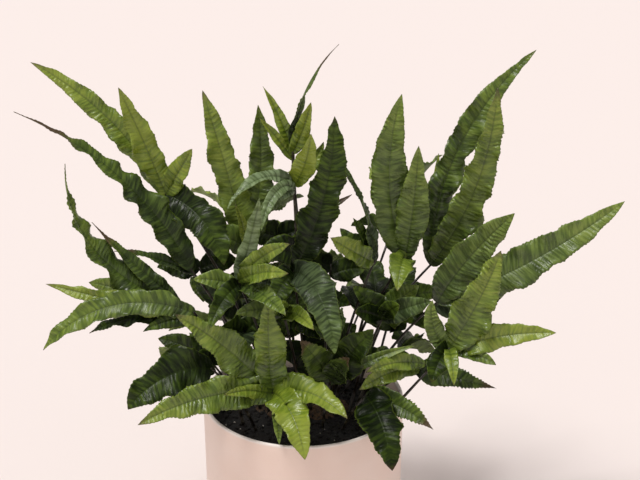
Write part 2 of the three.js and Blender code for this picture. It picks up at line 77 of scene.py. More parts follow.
SOIL_EDGE = 126.0
STALK_DEPTH = 12.0
BLADE_FOLD = 0.22
BLADE_SHOULDER = 0.55
BLADE_TAPER = 0.85
BLADE_LIFT = 0.6
LEAFLET_FOOT = 0.985


class Arch(NamedTuple):
    """A stalk's course."""

    heading: float
    rise: float
    end: float
    length: float


class Leaflet(NamedTuple):
    """A leaflet's course, width and finish."""

    heading: float
    rise: float
    end: float
    length: float
    width: float
    finish: str
    turn: float = 0.0
    at: float = LEAFLET_FOOT
    taper: float = BLADE_TAPER


class Frond(NamedTuple):
    """A stalk with its leaflets. girth is how thick its stalk is beside the usual one."""

    root: tuple
    stalk: Arch
    face: float
    leaflets: tuple
    girth: float = 1.0


class Finish(NamedTuple):
    """How a leaflet's blade looks. Each value runs from 0, none of it, to about 1."""

    fresh: float  # from deep green to yellow green
    painted_sheen: float  # a pale, silvery cast
    # painted sheen: the pale silvery cast stands for highlights along the wrinkles
    brown: float  # how far its tip has dried
    ribs: float  # how strongly it is wrinkled across
    ruffle: float  # how much its margins wave
    teeth: float  # how toothed its margins are near the tip


# The deep blades' near-black green is painted shade for the fern's shaded middle.
FINISHES = {
    "lime": Finish(fresh=0.86, painted_sheen=0.0, brown=0.3, ribs=0.7, ruffle=0.8, teeth=0.15),
    "bright": Finish(fresh=0.76, painted_sheen=0.04, brown=0.4, ribs=1.0, ruffle=0.9, teeth=0.2),
    "streaky": Finish(fresh=0.66, painted_sheen=0.06, brown=0.4, ribs=2.1, ruffle=0.8, teeth=0.4),
    "ribbed": Finish(fresh=0.52, painted_sheen=0.14, brown=0.2, ribs=1.9, ruffle=0.6, teeth=0.15),
    "green": Finish(fresh=0.5, painted_sheen=0.06, brown=0.3, ribs=0.9, ruffle=0.9, teeth=0.2),
    "dark": Finish(fresh=0.2, painted_sheen=0.02, brown=0.3, ribs=0.8, ruffle=1.0, teeth=0.25),
    "deep_shade": Finish(fresh=0.05, painted_sheen=0.0, brown=0.4, ribs=0.7, ruffle=1.0, teeth=0.3),
    "blue": Finish(fresh=0.16, painted_sheen=0.2, brown=0.2, ribs=0.8, ruffle=0.8, teeth=0.15),
    # painted sheen: the silver blades' pale cast is mostly painted sheen
    "silver": Finish(fresh=0.42, painted_sheen=0.65, brown=0.2, ribs=0.9, ruffle=0.7, teeth=0.15),
    "olive": Finish(fresh=0.32, painted_sheen=0.04, brown=0.8, ribs=0.6, ruffle=0.7, teeth=1.0),
    "bronze": Finish(fresh=0.3, painted_sheen=0.05, brown=1.0, ribs=0.6, ruffle=0.8, teeth=0.5),
}

FRONDS = {
    "frond_left_high": Frond((-24, 12), Arch(165, 80, 50, 187), -90, (
        Leaflet(170, 64, 26, 140, 18, "bright"),
        Leaflet(190, 72, 68, 92, 20, "lime", turn=10),
        Leaflet(-35, 60, 58, 50, 17, "lime"),
        Leaflet(-40, 5, -75, 75, 28, "dark"),
        Leaflet(200, 0, -30, 26, 12, "deep_shade", at=0.96),
        Leaflet(80, 30, -20, 46, 20, "dark", at=0.7),
    )),
    "frond_left_long": Frond((-32, 0), Arch(180, 82, 55, 131), -80, (
        Leaflet(178, 67, 23, 178, 22, "bronze", turn=70, taper=1.4),
        Leaflet(185, 35, 5, 62, 9, "bronze", turn=60, at=0.96),
        Leaflet(115, 30, -20, 36, 17, "dark", at=0.75),
    )),
    "frond_left_middle": Frond((-40, -10), Arch(197, 80, 50, 122), -85, (
        Leaflet(178, 14, 95, 142, 23, "green", turn=90, taper=1.2),
        Leaflet(172, 40, 48, 84, 13, "bronze", turn=40, taper=1.4),
        Leaflet(163, 10, 2, 72, 23, "green", turn=-15, at=0.95),
    )),
    "frond_left_low": Frond((-44, -22), Arch(218, 80, 60, 117), -92, (
        Leaflet(185, 30, -55, 122, 21, "green", turn=20),
        Leaflet(170, 6, 11, 112, 14, "bright", at=0.96),
        Leaflet(172, 12, -35, 85, 15, "deep_shade", turn=50, at=0.93),
        Leaflet(200, 20, -30, 42, 11, "dark", at=0.95),
    )),
    "frond_front_low": Frond((-6, -26), Arch(235, 70, 50, 52), -88, (
        Leaflet(192, 56, 36, 100, 26, "streaky"),
        Leaflet(-110, 74, 98, 84, 22, "streaky"),
        Leaflet(212, 24, -16, 112, 25, "streaky"),
        Leaflet(-66, 25, -70, 70, 27, "lime"),
        Leaflet(-40, 38, -30, 74, 22, "bright", turn=-30),
        Leaflet(-85, 5, -70, 42, 8, "green", at=0.9),
        Leaflet(222, 38, 5, 52, 11, "bright", at=0.92),
    )),
    "frond_middle": Frond((6, -6), Arch(180, 84, 84, 122), -90, (
        Leaflet(12, 62, 90, 125, 27, "dark", turn=10),
        Leaflet(-65, 30, -80, 90, 27, "blue"),
        Leaflet(243, 10, -60, 42, 20, "dark"),
        Leaflet(-15, 25, -40, 18, 16, "deep_shade", at=0.55),
        Leaflet(205, 25, -30, 26, 18, "deep_shade", at=0.5),
    )),
    "frond_left_centre": Frond((-16, -12), Arch(210, 82, 68, 132), -75, (
        Leaflet(-45, 68, 76, 76, 13, "silver"),
        Leaflet(-43, 55, 28, 70, 14, "bright"),
        Leaflet(-47, 38, 12, 60, 13, "bright"),
        Leaflet(-57, 20, -15, 62, 15, "green", at=0.95),
        Leaflet(242, 10, -50, 48, 16, "dark", at=0.96),
        Leaflet(190, 30, 0, 36, 15, "green", at=0.94),
        Leaflet(-20, 20, -40, 22, 18, "deep_shade", at=0.66),
    )),
    "frond_left_back_high": Frond((-12, 14), Arch(155, 82, 70, 128), -90, (
        Leaflet(168, 77, 74, 128, 23, "bright"),
        Leaflet(45, 70, 98, 114, 22, "green"),
        Leaflet(216, 50, 5, 52, 20, "green"),
        Leaflet(247, 70, 60, 62, 8, "bright", at=0.93),
        Leaflet(-30, 10, -50, 44, 22, "dark", at=0.8),
        Leaflet(190, 20, -20, 32, 18, "deep_shade", at=0.78),
    )),
    "frond_tall": Frond((2, 10), Arch(130, 85, 87, 206), -85, (
        Leaflet(15, 92, 42, 90, 10, "bronze", turn=160, taper=1.6),
        Leaflet(-43, 62, 74, 48, 12, "lime"),
        Leaflet(160, 74, 56, 54, 10, "lime", taper=1.2),
        Leaflet(190, 60, 50, 42, 7, "lime", at=0.96),
        Leaflet(210, 35, -20, 38, 20, "dark", at=0.62),
        Leaflet(60, 40, 0, 45, 20, "dark", at=0.6),
        Leaflet(170, 35, -10, 34, 20, "deep_shade", at=0.42),
    ), girth=1.5),
    "frond_young": Frond((10, 8), Arch(190, 85, 85, 188), -85, (
        Leaflet(-55, 50, 82, 52, 17, "lime"),
        Leaflet(22, 38, 68, 38, 11, "bright"),
        Leaflet(218, 50, -55, 68, 11, "silver", turn=60),
        Leaflet(235, 25, -30, 46, 9, "silver", at=0.96),
        Leaflet(240, 45, -80, 60, 9, "silver", at=0.97),
        Leaflet(20, 8, 26, 44, 6, "bronze", at=0.85),
        Leaflet(-5, 30, -30, 34, 18, "deep_shade", at=0.5),
    )),
    "frond_right_twisted": Frond((20, 10), Arch(10, 82, 68, 124), -75, (
        Leaflet(165, 88, 54, 84, 13, "blue", turn=140),
        Leaflet(223, 36, 40, 56, 18, "bright"),
        Leaflet(200, 75, 58, 42, 11, "dark", turn=30),
        Leaflet(140, 45, 30, 38, 19, "dark", at=0.95),
        Leaflet(105, 30, -20, 32, 18, "deep_shade", at=0.7),
    )),
    "frond_right_upright": Frond((24, 18), Arch(12, 78, 54, 128), -88, (
        Leaflet(10, 110, 74, 134, 28, "ribbed"),
        Leaflet(-60, 76, 86, 98, 23, "ribbed"),
        Leaflet(260, 40, -60, 46, 19, "bright"),
        Leaflet(-70, 15, -45, 36, 18, "dark", at=0.72),
        Leaflet(95, 40, 0, 44, 20, "dark", at=0.7),
    )),
    "frond_right_high": Frond((30, 22), Arch(18, 72, 42, 126), -88, (
        Leaflet(15, 92, 38, 188, 21, "green"),
        Leaflet(-30, 56, 88, 162, 26, "streaky"),
        Leaflet(80, 70, 65, 84, 10, "lime"),
        Leaflet(-50, 10, -40, 34, 17, "dark", at=0.7),
        Leaflet(85, 40, -10, 50, 20, "dark", at=0.75),
    )),
    "frond_right_middle": Frond((38, 2), Arch(12, 72, 38, 108), -86, (
        Leaflet(-12, 64, 46, 96, 27, "ribbed"),
        Leaflet(8, 18, 38, 158, 29, "ribbed"),
        Leaflet(24, -15, 20, 66, 21, "blue", at=0.95),
    )),
    "frond_right_low": Frond((56, -20), Arch(-8, 55, 52, 86), -85, (
        Leaflet(-10, 60, 74, 90, 29, "streaky"),
        Leaflet(-8, 26, 2, 80, 19, "lime"),
        Leaflet(-24, 15, -30, 38, 13, "green"),
        Leaflet(-85, 20, -70, 36, 10, "bright"),
        Leaflet(190, 45, 100, 45, 14, "ribbed"),
        Leaflet(244, 15, -60, 35, 18, "deep_shade"),
    )),
    "frond_right_front": Frond((38, -8), Arch(-8, 68, 24, 74), -82, (
        Leaflet(213, 30, -10, 55, 12, "bright"),
        Leaflet(215, 16, -20, 56, 16, "bright", at=0.93),
        Leaflet(-10, -8, -12, 62, 19, "olive", at=0.88, taper=1.2),
    )),
    "frond_front_right": Frond((28, -30), Arch(-40, 75, 50, 46), -85, (
        Leaflet(-70, 10, -72, 68, 30, "deep_shade"),
        Leaflet(-30, 8, -32, 58, 19, "olive", taper=1.1),
    )),
    "frond_front_middle": Frond((14, -26), Arch(-45, 85, 75, 46), -88, (
        Leaflet(211, 65, 50, 48, 24, "olive"),
        Leaflet(-66, 55, 40, 48, 20, "olive"),
        Leaflet(-18, 62, 50, 58, 27, "dark"),
        Leaflet(5, 38, 12, 70, 8, "green", at=0.93),
    )),
    "frond_front_left": Frond((-34, -30), Arch(210, 74, 50, 74), -88, (
        Leaflet(208, 24, -50, 73, 31, "dark"),
        Leaflet(180, 30, -30, 42, 12, "olive", at=0.95),
    )),
    "frond_middle_low": Frond((2, -18), Arch(217, 83, 75, 102), -90, (
        Leaflet(-61, 35, -15, 48, 14, "bright"),
        Leaflet(-95, 45, 35, 40, 14, "green"),
        Leaflet(190, 30, -20, 36, 15, "green"),
        Leaflet(-10, 20, -40, 26, 17, "deep_shade", at=0.55),
    )),
    # The inner and heart fronds below fill the fern's shaded middle, and their near-black deep
    # blades are painted shade.
    "frond_inner_left": Frond((-25, -5), Arch(195, 82, 70, 76), -90, (
        Leaflet(225, 40, 20, 26, 20, "dark"),
        Leaflet(70, 45, 20, 28, 18, "deep_shade"),
        Leaflet(-10, 50, 30, 34, 20, "dark"),
        Leaflet(265, 20, -50, 30, 20, "blue"),
    )),
    "frond_inner_middle": Frond((18, -8), Arch(-100, 85, 80, 82), -90, (
        Leaflet(200, 30, -10, 24, 20, "deep_shade"),
        Leaflet(-92, 35, -15, 24, 22, "dark"),
        Leaflet(0, 40, 20, 18, 16, "blue"),
        Leaflet(90, 60, 30, 28, 20, "deep_shade"),
    )),
    "frond_inner_right": Frond((34, -2), Arch(0, 80, 68, 84), -80, (
        Leaflet(-20, 40, 20, 44, 18, "blue"),
        Leaflet(-60, 55, 30, 34, 15, "dark"),
        Leaflet(215, 45, 10, 28, 17, "deep_shade"),
        Leaflet(170, 60, 40, 34, 17, "dark"),
        Leaflet(25, 50, 20, 38, 19, "green"),
    )),
    "frond_inner_right_low": Frond((46, -4), Arch(10, 78, 60, 46), -80, (
        Leaflet(-75, 35, -10, 22, 18, "deep_shade", at=0.94),
        Leaflet(-5, 40, 5, 18, 15, "dark"),
        Leaflet(145, 45, 20, 24, 15, "deep_shade", at=0.9),
        Leaflet(235, 60, 45, 26, 17, "blue"),
    )),
    "frond_inner_left_low": Frond((-46, 0), Arch(185, 76, 55, 48), -100, (
        Leaflet(235, 30, -20, 34, 20, "deep_shade"),
        Leaflet(165, 40, 0, 46, 22, "dark"),
        Leaflet(20, 50, 20, 28, 18, "deep_shade"),
    )),
    "frond_heart_right": Frond((22, 24), Arch(60, 82, 78, 46), -90, (
        Leaflet(205, 30, 0, 26, 20, "deep_shade"),
        Leaflet(20, 50, 30, 20, 18, "dark", at=0.94),
    )),
    "frond_heart_left": Frond((-42, 27), Arch(110, 83, 78, 68), -90, (
        Leaflet(195, 30, 0, 28, 20, "dark"),
        Leaflet(15, 30, 10, 22, 18, "deep_shade", at=0.92),
    )),
    "frond_heart_high": Frond((14, 30), Arch(60, 86, 80, 104), -90, (
        Leaflet(200, 30, 10, 24, 20, "deep_shade"),
        Leaflet(10, 30, -15, 28, 20, "dark", at=0.92),
    )),
    "frond_heart_side": Frond((50, 14), Arch(20, 82, 74, 70), -90, (
        Leaflet(200, 25, 5, 22, 19, "deep_shade"),
        Leaflet(-80, 35, -10, 20, 18, "dark"),
        Leaflet(-30, 10, -40, 15, 18, "deep_shade"),
    )),
    "frond_heart_low": Frond((-16, 24), Arch(120, 84, 78, 54), -90, (
        Leaflet(195, 45, 20, 26, 19, "deep_shade"),
        Leaflet(-55, 35, -10, 16, 18, "dark"),
        Leaflet(0, 20, -10, 24, 19, "deep_shade"),
    )),
    "frond_heart_far_right": Frond((42, 36), Arch(20, 76, 64, 76), -90, (
        Leaflet(185, 15, -20, 30, 20, "deep_shade"),
        Leaflet(15, 20, -15, 40, 20, "dark"),
    )),
    "frond_heart_far_left": Frond((-44, 36), Arch(160, 78, 62, 104), -90, (
        Leaflet(195, 30, -10, 34, 20, "dark"),
        Leaflet(0, 30, 0, 30, 20, "deep_shade"),
        Leaflet(-90, 10, -50, 26, 18, "green", at=0.92),
    )),
    "frond_heart_top": Frond((-20, 34), Arch(60, 88, 86, 128), -90, (
        Leaflet(195, 30, 0, 28, 20, "dark"),
        Leaflet(0, 35, 10, 24, 20, "deep_shade"),
        Leaflet(-90, 30, -20, 18, 18, "dark", at=0.93),
    )),
    "frond_back_left_high": Frond((-14, 44), Arch(128, 76, 58, 120), 90, (
        Leaflet(125, 30, -20, 85, 25, "bright"),
        Leaflet(82, 35, -15, 76, 24, "green"),
        Leaflet(42, 40, -10, 62, 22, "ribbed"),
        Leaflet(170, 20, -40, 36, 18, "dark"),
        Leaflet(60, 20, -30, 38, 20, "dark", at=0.62),
    )),
    "frond_back_right_high": Frond((34, 42), Arch(50, 76, 56, 122), 90, (
        Leaflet(58, 50, 0, 92, 26, "ribbed"),
        Leaflet(18, 45, 15, 80, 24, "green"),
        Leaflet(100, 50, -10, 80, 24, "bright"),
        Leaflet(150, 30, -30, 36, 18, "dark"),
        Leaflet(0, 20, -30, 38, 20, "dark", at=0.6),
        Leaflet(120, 20, -30, 38, 20, "dark", at=0.62),
    )),
    "frond_back_middle": Frond((-6, 30), Arch(100, 80, 62, 92), 90, (
        Leaflet(125, 40, -30, 70, 24, "green"),
        Leaflet(92, 40, -35, 84, 24, "streaky"),
        Leaflet(50, 20, -50, 72, 22, "green"),
        Leaflet(200, 40, 20, 24, 16, "dark"),
        Leaflet(20, 20, -40, 34, 20, "dark", at=0.65),
        Leaflet(170, 20, -40, 22, 18, "deep_shade", at=0.6),
    )),
    "frond_back_left": Frond((-26, 30), Arch(135, 75, 50, 68), 105, (
        Leaflet(175, 15, -35, 62, 20, "green", at=0.86),
        Leaflet(135, 45, -20, 82, 24, "bright"),
        Leaflet(85, 20, -40, 66, 18, "dark", at=0.92),
    )),
    "frond_back_right": Frond((24, 34), Arch(60, 72, 40, 62), 75, (
        Leaflet(22, 5, -45, 66, 22, "dark"),
        Leaflet(52, 10, -40, 84, 26, "streaky"),
        Leaflet(88, 20, -40, 74, 22, "green"),
    )),
    "frond_back_low_left": Frond((-42, 22), Arch(145, 68, 30, 48), 120, (
        Leaflet(165, 0, -50, 42, 18, "dark"),
        Leaflet(140, 5, -60, 66, 23, "green"),
        Leaflet(112, 5, -45, 56, 18, "dark"),
    )),
    "frond_back_low_right": Frond((46, 24), Arch(32, 68, 30, 46), 60, (
        Leaflet(15, 0, -50, 44, 18, "green"),
        Leaflet(42, 5, -60, 66, 23, "bright"),
        Leaflet(72, 5, -45, 54, 18, "dark"),
    )),
    "frond_back_low": Frond((2, 50), Arch(92, 70, 25, 50), 90, (
        Leaflet(120, 5, -60, 70, 22, "green"),
        Leaflet(88, 10, -70, 76, 25, "bright"),
        Leaflet(55, 0, -55, 62, 20, "dark"),
    )),
}

# ---------- settings that a user would change ----------


def length(name, description, default):
    return FloatProperty(name=name, description=description, default=default, unit="LENGTH")


def colour(name, description, default):
    return FloatVectorProperty(
        name=name, description=description, default=default, subtype="COLOR", size=3, min=0, max=1
    )


def share(name, description, default):
    return FloatProperty(name=name, description=description, default=default, subtype="FACTOR")


def count(name, description, default):
    return IntProperty(name=name, description=description, default=default, min=1)


class FernBladeSettings(bpy.types.PropertyGroup):
    """The leaflets' blades."""

    thickness: length("Thickness", "Thickness of a blade", 0.4 * MM)
    stretch: length("Stretch", "Length of one stretch of a blade's mesh", 0.85 * MM)
    columns: count("Columns", "Faces across a blade", 14)
    wave: share("Wave", "Height of the margins' waves beside the half width", 0.34)
    wave_pitch: length("Wave pitch", "Distance between the margins' waves", 23 * MM)
    lobe: share("Lobe", "Depth of the outline's lobes beside the half width", 0.24)
    rib: length("Rib", "Height of the wrinkles across a blade", 0.42 * MM)
    rib_pitch: length("Rib pitch", "Distance between the wrinkles", 3.4 * MM)
    rib_slant: share("Rib slant", "How far the wrinkles lean towards the tip", 0.45)
    midrib: length("Midrib", "Depth of the crease above the midrib", 0.45 * MM)
    tooth_pitch: length("Tooth pitch", "Distance between the margin's teeth", 2.5 * MM)
    tooth: share("Tooth", "Depth of the margin's teeth beside the half width", 0.3)
    # painted shade: the near-black green of the blades in the fern's shaded middle and of the
    # darkest leaf bases, not the colour of old blades
    deep_shade: colour("Deep", "Colour of the oldest blades", (0.005, 0.010, 0.002))
    dark: colour("Dark", "Colour of dark blades", (0.021, 0.038, 0.004))
    green: colour("Green", "Colour of usual blades", (0.066, 0.108, 0.009))
    fresh: colour("Fresh", "Colour of fresh blades", (0.150, 0.215, 0.018))
    lime: colour("Lime", "Colour of the youngest blades", (0.245, 0.310, 0.032))
    # painted sheen: the colour of the silvery cast that stands for highlights along the wrinkles
    painted_sheen: colour("Bloom", "Colour of a blade's silvery cast", (0.270, 0.360, 0.210))
    under: colour("Underside", "Colour added to a blade's underside", (0.100, 0.150, 0.045))
    brown: colour("Brown", "Colour of a dried tip", (0.085, 0.050, 0.028))
    gloss: share("Gloss", "Roughness of a blade's upper side", 0.33)


class FernStalkSettings(bpy.types.PropertyGroup):
    """The stalks."""

    radius: length("Radius", "Radius of a stalk at the soil", 1.25 * MM)
    tip_radius: length("Tip radius", "Radius of a stalk at its end", 0.85 * MM)
    sides: count("Sides", "Faces round a stalk", 10)
    stretch: length("Stretch", "Length of one stretch of a stalk's mesh", 3.5 * MM)
    colour: colour("Colour", "Colour of a stalk", (0.017, 0.012, 0.008))
    streak: colour("Streak", "Colour of the streaks on a stalk", (0.060, 0.052, 0.026))


class FernPotSettings(bpy.types.PropertyGroup):
    """The pot."""

    height: length("Height", "Height of the pot", POT_HIGH.z)
    radius: length("Radius", "Radius of the pot at its rim", POT_HIGH.x)
    foot_radius: length("Foot radius", "Radius of the pot at its base", 73.2 * MM)
    foot_round: length("Foot round", "Rounding of the pot's foot", 4 * MM)
    wall: length("Wall", "Thickness of the wall", 4.5 * MM)
    lip: length("Lip", "Thickness of the rim", 2.6 * MM)
    lip_depth: length("Lip depth", "How far down the rim is thinner than the wall", 6 * MM)
    floor: length("Floor", "Thickness of the pot's floor", 7 * MM)
    sides: count("Sides", "Faces round the pot", 144)
    unevenness: length("Unevenness", "How uneven the wall is", 0.12 * MM)
    colour: colour("Colour", "Colour of the pot", (0.880, 0.700, 0.610))
    pale: colour("Pale", "Colour of the pot's paler patches", (0.900, 0.745, 0.665))
    lip_colour: colour("Lip colour", "Colour of the rim", (0.900, 0.820, 0.770))
    speck: colour("Speck", "Colour of the fine specks in the clay", (0.620, 0.450, 0.370))
    gloss: share("Gloss", "Roughness of the pot", 0.42)


class FernSoilSettings(bpy.types.PropertyGroup):
    """The soil."""

    lumps: length("Lumps", "Height of the soil's lumps", 2.4 * MM)
    rings: count("Rings", "Rings of faces on the soil's surface", 34)
    sides: count("Sides", "Faces round the soil", 120)
    crumbs: count("Crumbs", "Number of loose crumbs", 900)
    crumb: length("Crumb", "Radius of a usual crumb", 1.5 * MM)
    grits: count("Grits", "Number of pale grits", 44)
    grit: length("Grit", "Radius of a usual pale grit", 0.6 * MM)
    colour: colour("Colour", "Colour of the soil", (0.0024, 0.0018, 0.0016))
    dry: colour("Dry", "Colour of the soil's drier crumbs", (0.011, 0.0075, 0.0060))
    grit_colour: colour("Grit colour", "Colour of the pale grits", (0.420, 0.390, 0.350))


class FernRootstockSettings(bpy.types.PropertyGroup):
    """The rootstock."""

    voxel: length("Voxel", "Size of the rootstock's mesh", 1.3 * MM)
    scales: length("Scales", "Height of the rootstock's scales", 1.1 * MM)
    colour: colour("Colour", "Colour of the rootstock", (0.030, 0.018, 0.010))
    scale_colour: colour("Scale colour", "Colour of its dry scales", (0.110, 0.062, 0.030))


class FernStageSettings(bpy.types.PropertyGroup):
    """The floor, the lights and the camera."""

    floor: length("Floor", "Width of the floor", 24.0)
    floor_colour: colour("Floor colour", "Colour of the floor", (0.850, 0.775, 0.755))
    sky_colour: colour("Sky colour", "Colour of the light all round", (0.985, 0.925, 0.905))
    sky: FloatProperty(name="Sky", description="Strength of the light all round", default=0.5)
    key: FloatProperty(name="Key", description="Strength of the main light", default=2.25)
    key_spread: FloatProperty(
        name="Key spread",
        description="How wide the main light looks from the fern",
        default=math.radians(22),
        subtype="ANGLE",
    )
    key_heading: FloatProperty(
        name="Key heading",
        description="Angle of the main light to the left of the camera",
        default=math.radians(62),
        subtype="ANGLE",
    )
    key_height: FloatProperty(
        name="Key height",
        description="Height angle of the main light",
        default=math.radians(70),
        subtype="ANGLE",
    )
    aim: FloatVectorProperty(
        name="Aim",
        description="What the camera looks at",
        default=(0.0125, 0.0, 0.269),
        subtype="TRANSLATION",
    )
    distance: length("Distance", "Distance of the camera", 1.5)
    elevation: FloatProperty(
        name="Elevation",
        description="Height angle of the camera",
        default=math.radians(25.5),
        subtype="ANGLE",
    )
    lens: FloatProperty(name="Lens", description="Focal length in millimetres", default=116.55)


# ---------- node helpers ----------

# the places of a mix node's colour sockets, since its float and vector sockets have the same names
MIX_FIRST = 6
MIX_SECOND = 7
MIX_RESULT = 2


def new_material(name):
    """An empty material with its Principled shader wired to its output."""
    material = bpy.data.materials.new(name)
    material.use_nodes = True
    tree = material.node_tree
    tree.nodes.clear()
    output = tree.nodes.new("ShaderNodeOutputMaterial")
    shader = tree.nodes.new("ShaderNodeBsdfPrincipled")
    tree.links.new(shader.outputs["BSDF"], output.inputs["Surface"])
    return material, tree, shader


def feed(tree, value, socket):
    """Wires value to socket, or sets the socket to it where it is a plain number or colour."""
    if isinstance(value, bpy.types.NodeSocket):
        tree.links.new(value, socket)
    elif socket.type == "RGBA" and len(value) == 3:
        socket.default_value = (*value, 1.0)
    else:
        socket.default_value = value


def sums(tree, operation, *values, clamp=False):
    """One step of arithmetic on values."""
    node = tree.nodes.new("ShaderNodeMath")
    node.operation = operation
    node.use_clamp = clamp
    for value, socket in zip(values, node.inputs):
        feed(tree, value, socket)
    return node.outputs["Value"]


def between(tree, value, low, high, to_low=0.0, to_high=1.0):
    """value taken smoothly from low..high to to_low..to_high."""
    node = tree.nodes.new("ShaderNodeMapRange")
    node.interpolation_type = "SMOOTHSTEP"
    for name, given in (
        ("Value", value),
        ("From Min", low),
        ("From Max", high),
        ("To Min", to_low),
        ("To Max", to_high),
    ):
        feed(tree, given, node.inputs[name])
    return node.outputs["Result"]


def mixed(tree, factor, first, second):
    """The colour factor of the way from first to second."""
    node = tree.nodes.new("ShaderNodeMix")
    node.data_type = "RGBA"
    feed(tree, factor, node.inputs["Factor"])
    feed(tree, first, node.inputs[MIX_FIRST])
    feed(tree, second, node.inputs[MIX_SECOND])
    return node.outputs[MIX_RESULT]


def swayed(tree, value, change, middle, size, clamp=False):
    """value plus size times change, which adds nothing where it is at its middle."""
    added = sums(tree, "MULTIPLY", sums(tree, "SUBTRACT", change, middle), size)
    return sums(tree, "ADD", value, added, clamp=clamp)


def graded(tree, factor, stops):
    """A colour ramp through stops, pairs of place and colour."""
    node = tree.nodes.new("ShaderNodeValToRGB")
    elements = node.color_ramp.elements
    for _ in range(len(stops) - 2):
        elements.new(0.5)
    for element, (place, tint) in zip(elements, stops):
        element.position = place
        element.color = (*tint, 1.0)
    feed(tree, factor, node.inputs["Fac"])
    return node.outputs["Color"]


def attribute(tree, name):
    """The three values of a piece's attribute."""
    read = tree.nodes.new("ShaderNodeAttribute")
    read.attribute_name = name
    parts = tree.nodes.new("ShaderNodeSeparateXYZ")
    tree.links.new(read.outputs["Vector"], parts.inputs["Vector"])
    return parts.outputs["X"], parts.outputs["Y"], parts.outputs["Z"]


def object_place(tree):
    """Where a point is, in metres from the object's origin."""
    return tree.nodes.new("ShaderNodeTexCoord").outputs["Object"]


def place(tree, x, y, z):
    """A vector of three values."""
    node = tree.nodes.new("ShaderNodeCombineXYZ")
    for value, socket in zip((x, y, z), node.inputs):
        feed(tree, value, socket)
    return node.outputs["Vector"]


def bumped(tree, height, distance, strength=1.0):
    """A normal that follows height, a value which stands for distance where it is 1."""
    node = tree.nodes.new("ShaderNodeBump")
    feed(tree, height, node.inputs["Height"])
    node.inputs["Distance"].default_value = distance
    node.inputs["Strength"].default_value = strength
    return node.outputs["Normal"]


def new_group(name, inputs, outputs):
    """An empty node group with float or vector inputs and outputs."""
    tree = bpy.data.node_groups.new(name, "ShaderNodeTree")
    for socket, kind, default in inputs:
        made = tree.interface.new_socket(socket, in_out="INPUT", socket_type=kind)
        if default is not None:
            made.default_value = default
    for socket, kind in outputs:
        tree.interface.new_socket(socket, in_out="OUTPUT", socket_type=kind)
    return tree, tree.nodes.new("NodeGroupInput"), tree.nodes.new("NodeGroupOutput")


def mottle_group():
    """Soft patches and fine grain, as two masks and one height."""
    if "soft_mottle" in bpy.data.node_groups:
        return bpy.data.node_groups["soft_mottle"]
    tree, given, out = new_group(
        "soft_mottle",
        (
            ("Place", "NodeSocketVector", None),
            ("Patch Scale", "NodeSocketFloat", 30.0),
            ("Grain Scale", "NodeSocketFloat", 600.0),
            ("Speck Share", "NodeSocketFloat", 0.3),
        ),
        [(name, "NodeSocketFloat") for name in ("Patches", "Specks", "Height")],
    )
    patches = tree.nodes.new("ShaderNodeTexNoise")
    patches.inputs["Detail"].default_value = 3.0
    tree.links.new(given.outputs["Place"], patches.inputs["Vector"])
    tree.links.new(given.outputs["Patch Scale"], patches.inputs["Scale"])
    grain = tree.nodes.new("ShaderNodeTexNoise")
    grain.inputs["Detail"].default_value = 4.0
    tree.links.new(given.outputs["Place"], grain.inputs["Vector"])
    tree.links.new(given.outputs["Grain Scale"], grain.inputs["Scale"])
    speck_floor = sums(tree, "SUBTRACT", 1.0, given.outputs["Speck Share"])
    specks = between(tree, grain.outputs["Fac"], speck_floor, sums(tree, "ADD", speck_floor, 0.08))
    height = sums(tree, "ADD", grain.outputs["Fac"], patches.outputs["Fac"])
    tree.links.new(between(tree, patches.outputs["Fac"], 0.35, 0.65), out.inputs["Patches"])
    tree.links.new(specks, out.inputs["Specks"])
    tree.links.new(height, out.inputs["Height"])
    return tree


def mottle(tree, where, patch_scale, grain_scale, speck_share):
    """The soft patches, the specks and the height of the mottle group at where."""
    node = tree.nodes.new("ShaderNodeGroup")
    node.node_tree = mottle_group()
    feed(tree, where, node.inputs["Place"])
    node.inputs["Patch Scale"].default_value = patch_scale
    node.inputs["Grain Scale"].default_value = grain_scale
    node.inputs["Speck Share"].default_value = speck_share
    return node.outputs["Patches"], node.outputs["Specks"], node.outputs["Height"]


# ---------- mesh helpers ----------


def finished(bm, name, materials):
    """A smooth mesh object at the origin from bm."""
    mesh = bpy.data.meshes.new(name)
    bm.to_mesh(mesh)
    bm.free()
    for material in materials:
        mesh.materials.append(material)
    mesh.shade_smooth()
    piece = bpy.data.objects.new(name, mesh)
    bpy.context.scene.collection.objects.link(piece)
    return piece


def placed(piece, slot, *nodes):
    """The piece rides on the fern's one body and stands for these CAD nodes."""
    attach(piece, BODY)
    if nodes:
        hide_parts(*nodes)
    return piece


def turned(bm, profile, steps):
    """A closed body: a profile of (radius, height) pairs, from axis to axis, turned round."""
    line = [bm.verts.new((radius, 0.0, height)) for radius, height in profile]
    edges = [bm.edges.new(pair) for pair in zip(line, line[1:])]
    bmesh.ops.spin(
        bm,
        geom=line + edges,
        cent=(0, 0, 0),
        axis=(0, 0, 1),
        dvec=(0, 0, 0),
        angle=2 * math.pi,
        steps=steps,
        use_merge=True,
        use_duplicate=False,
    )
    bmesh.ops.remove_doubles(bm, verts=bm.verts, dist=1e-6)
    bmesh.ops.recalc_face_normals(bm, faces=bm.faces)


def quarter(centre, radius, start, end, steps):
    """Points of a rounded corner in a profile, from angle start to angle end in degrees."""
    angles = [math.radians(start + (end - start) * step / steps) for step in range(steps + 1)]
    return [(centre[0] + radius * math.cos(a), centre[1] + radius * math.sin(a)) for a in angles]


def ease(value, low, high):
    """0 at low, 1 at high, smooth between."""
    part = min(max((value - low) / (high - low), 0.0), 1.0)
    return part * part * (3 - 2 * part)


# ---------- stalks and blades ----------


def direction(heading, rise):
    run = math.cos(rise)
    return Vector((run * math.cos(heading), run * math.sin(heading), math.sin(rise)))


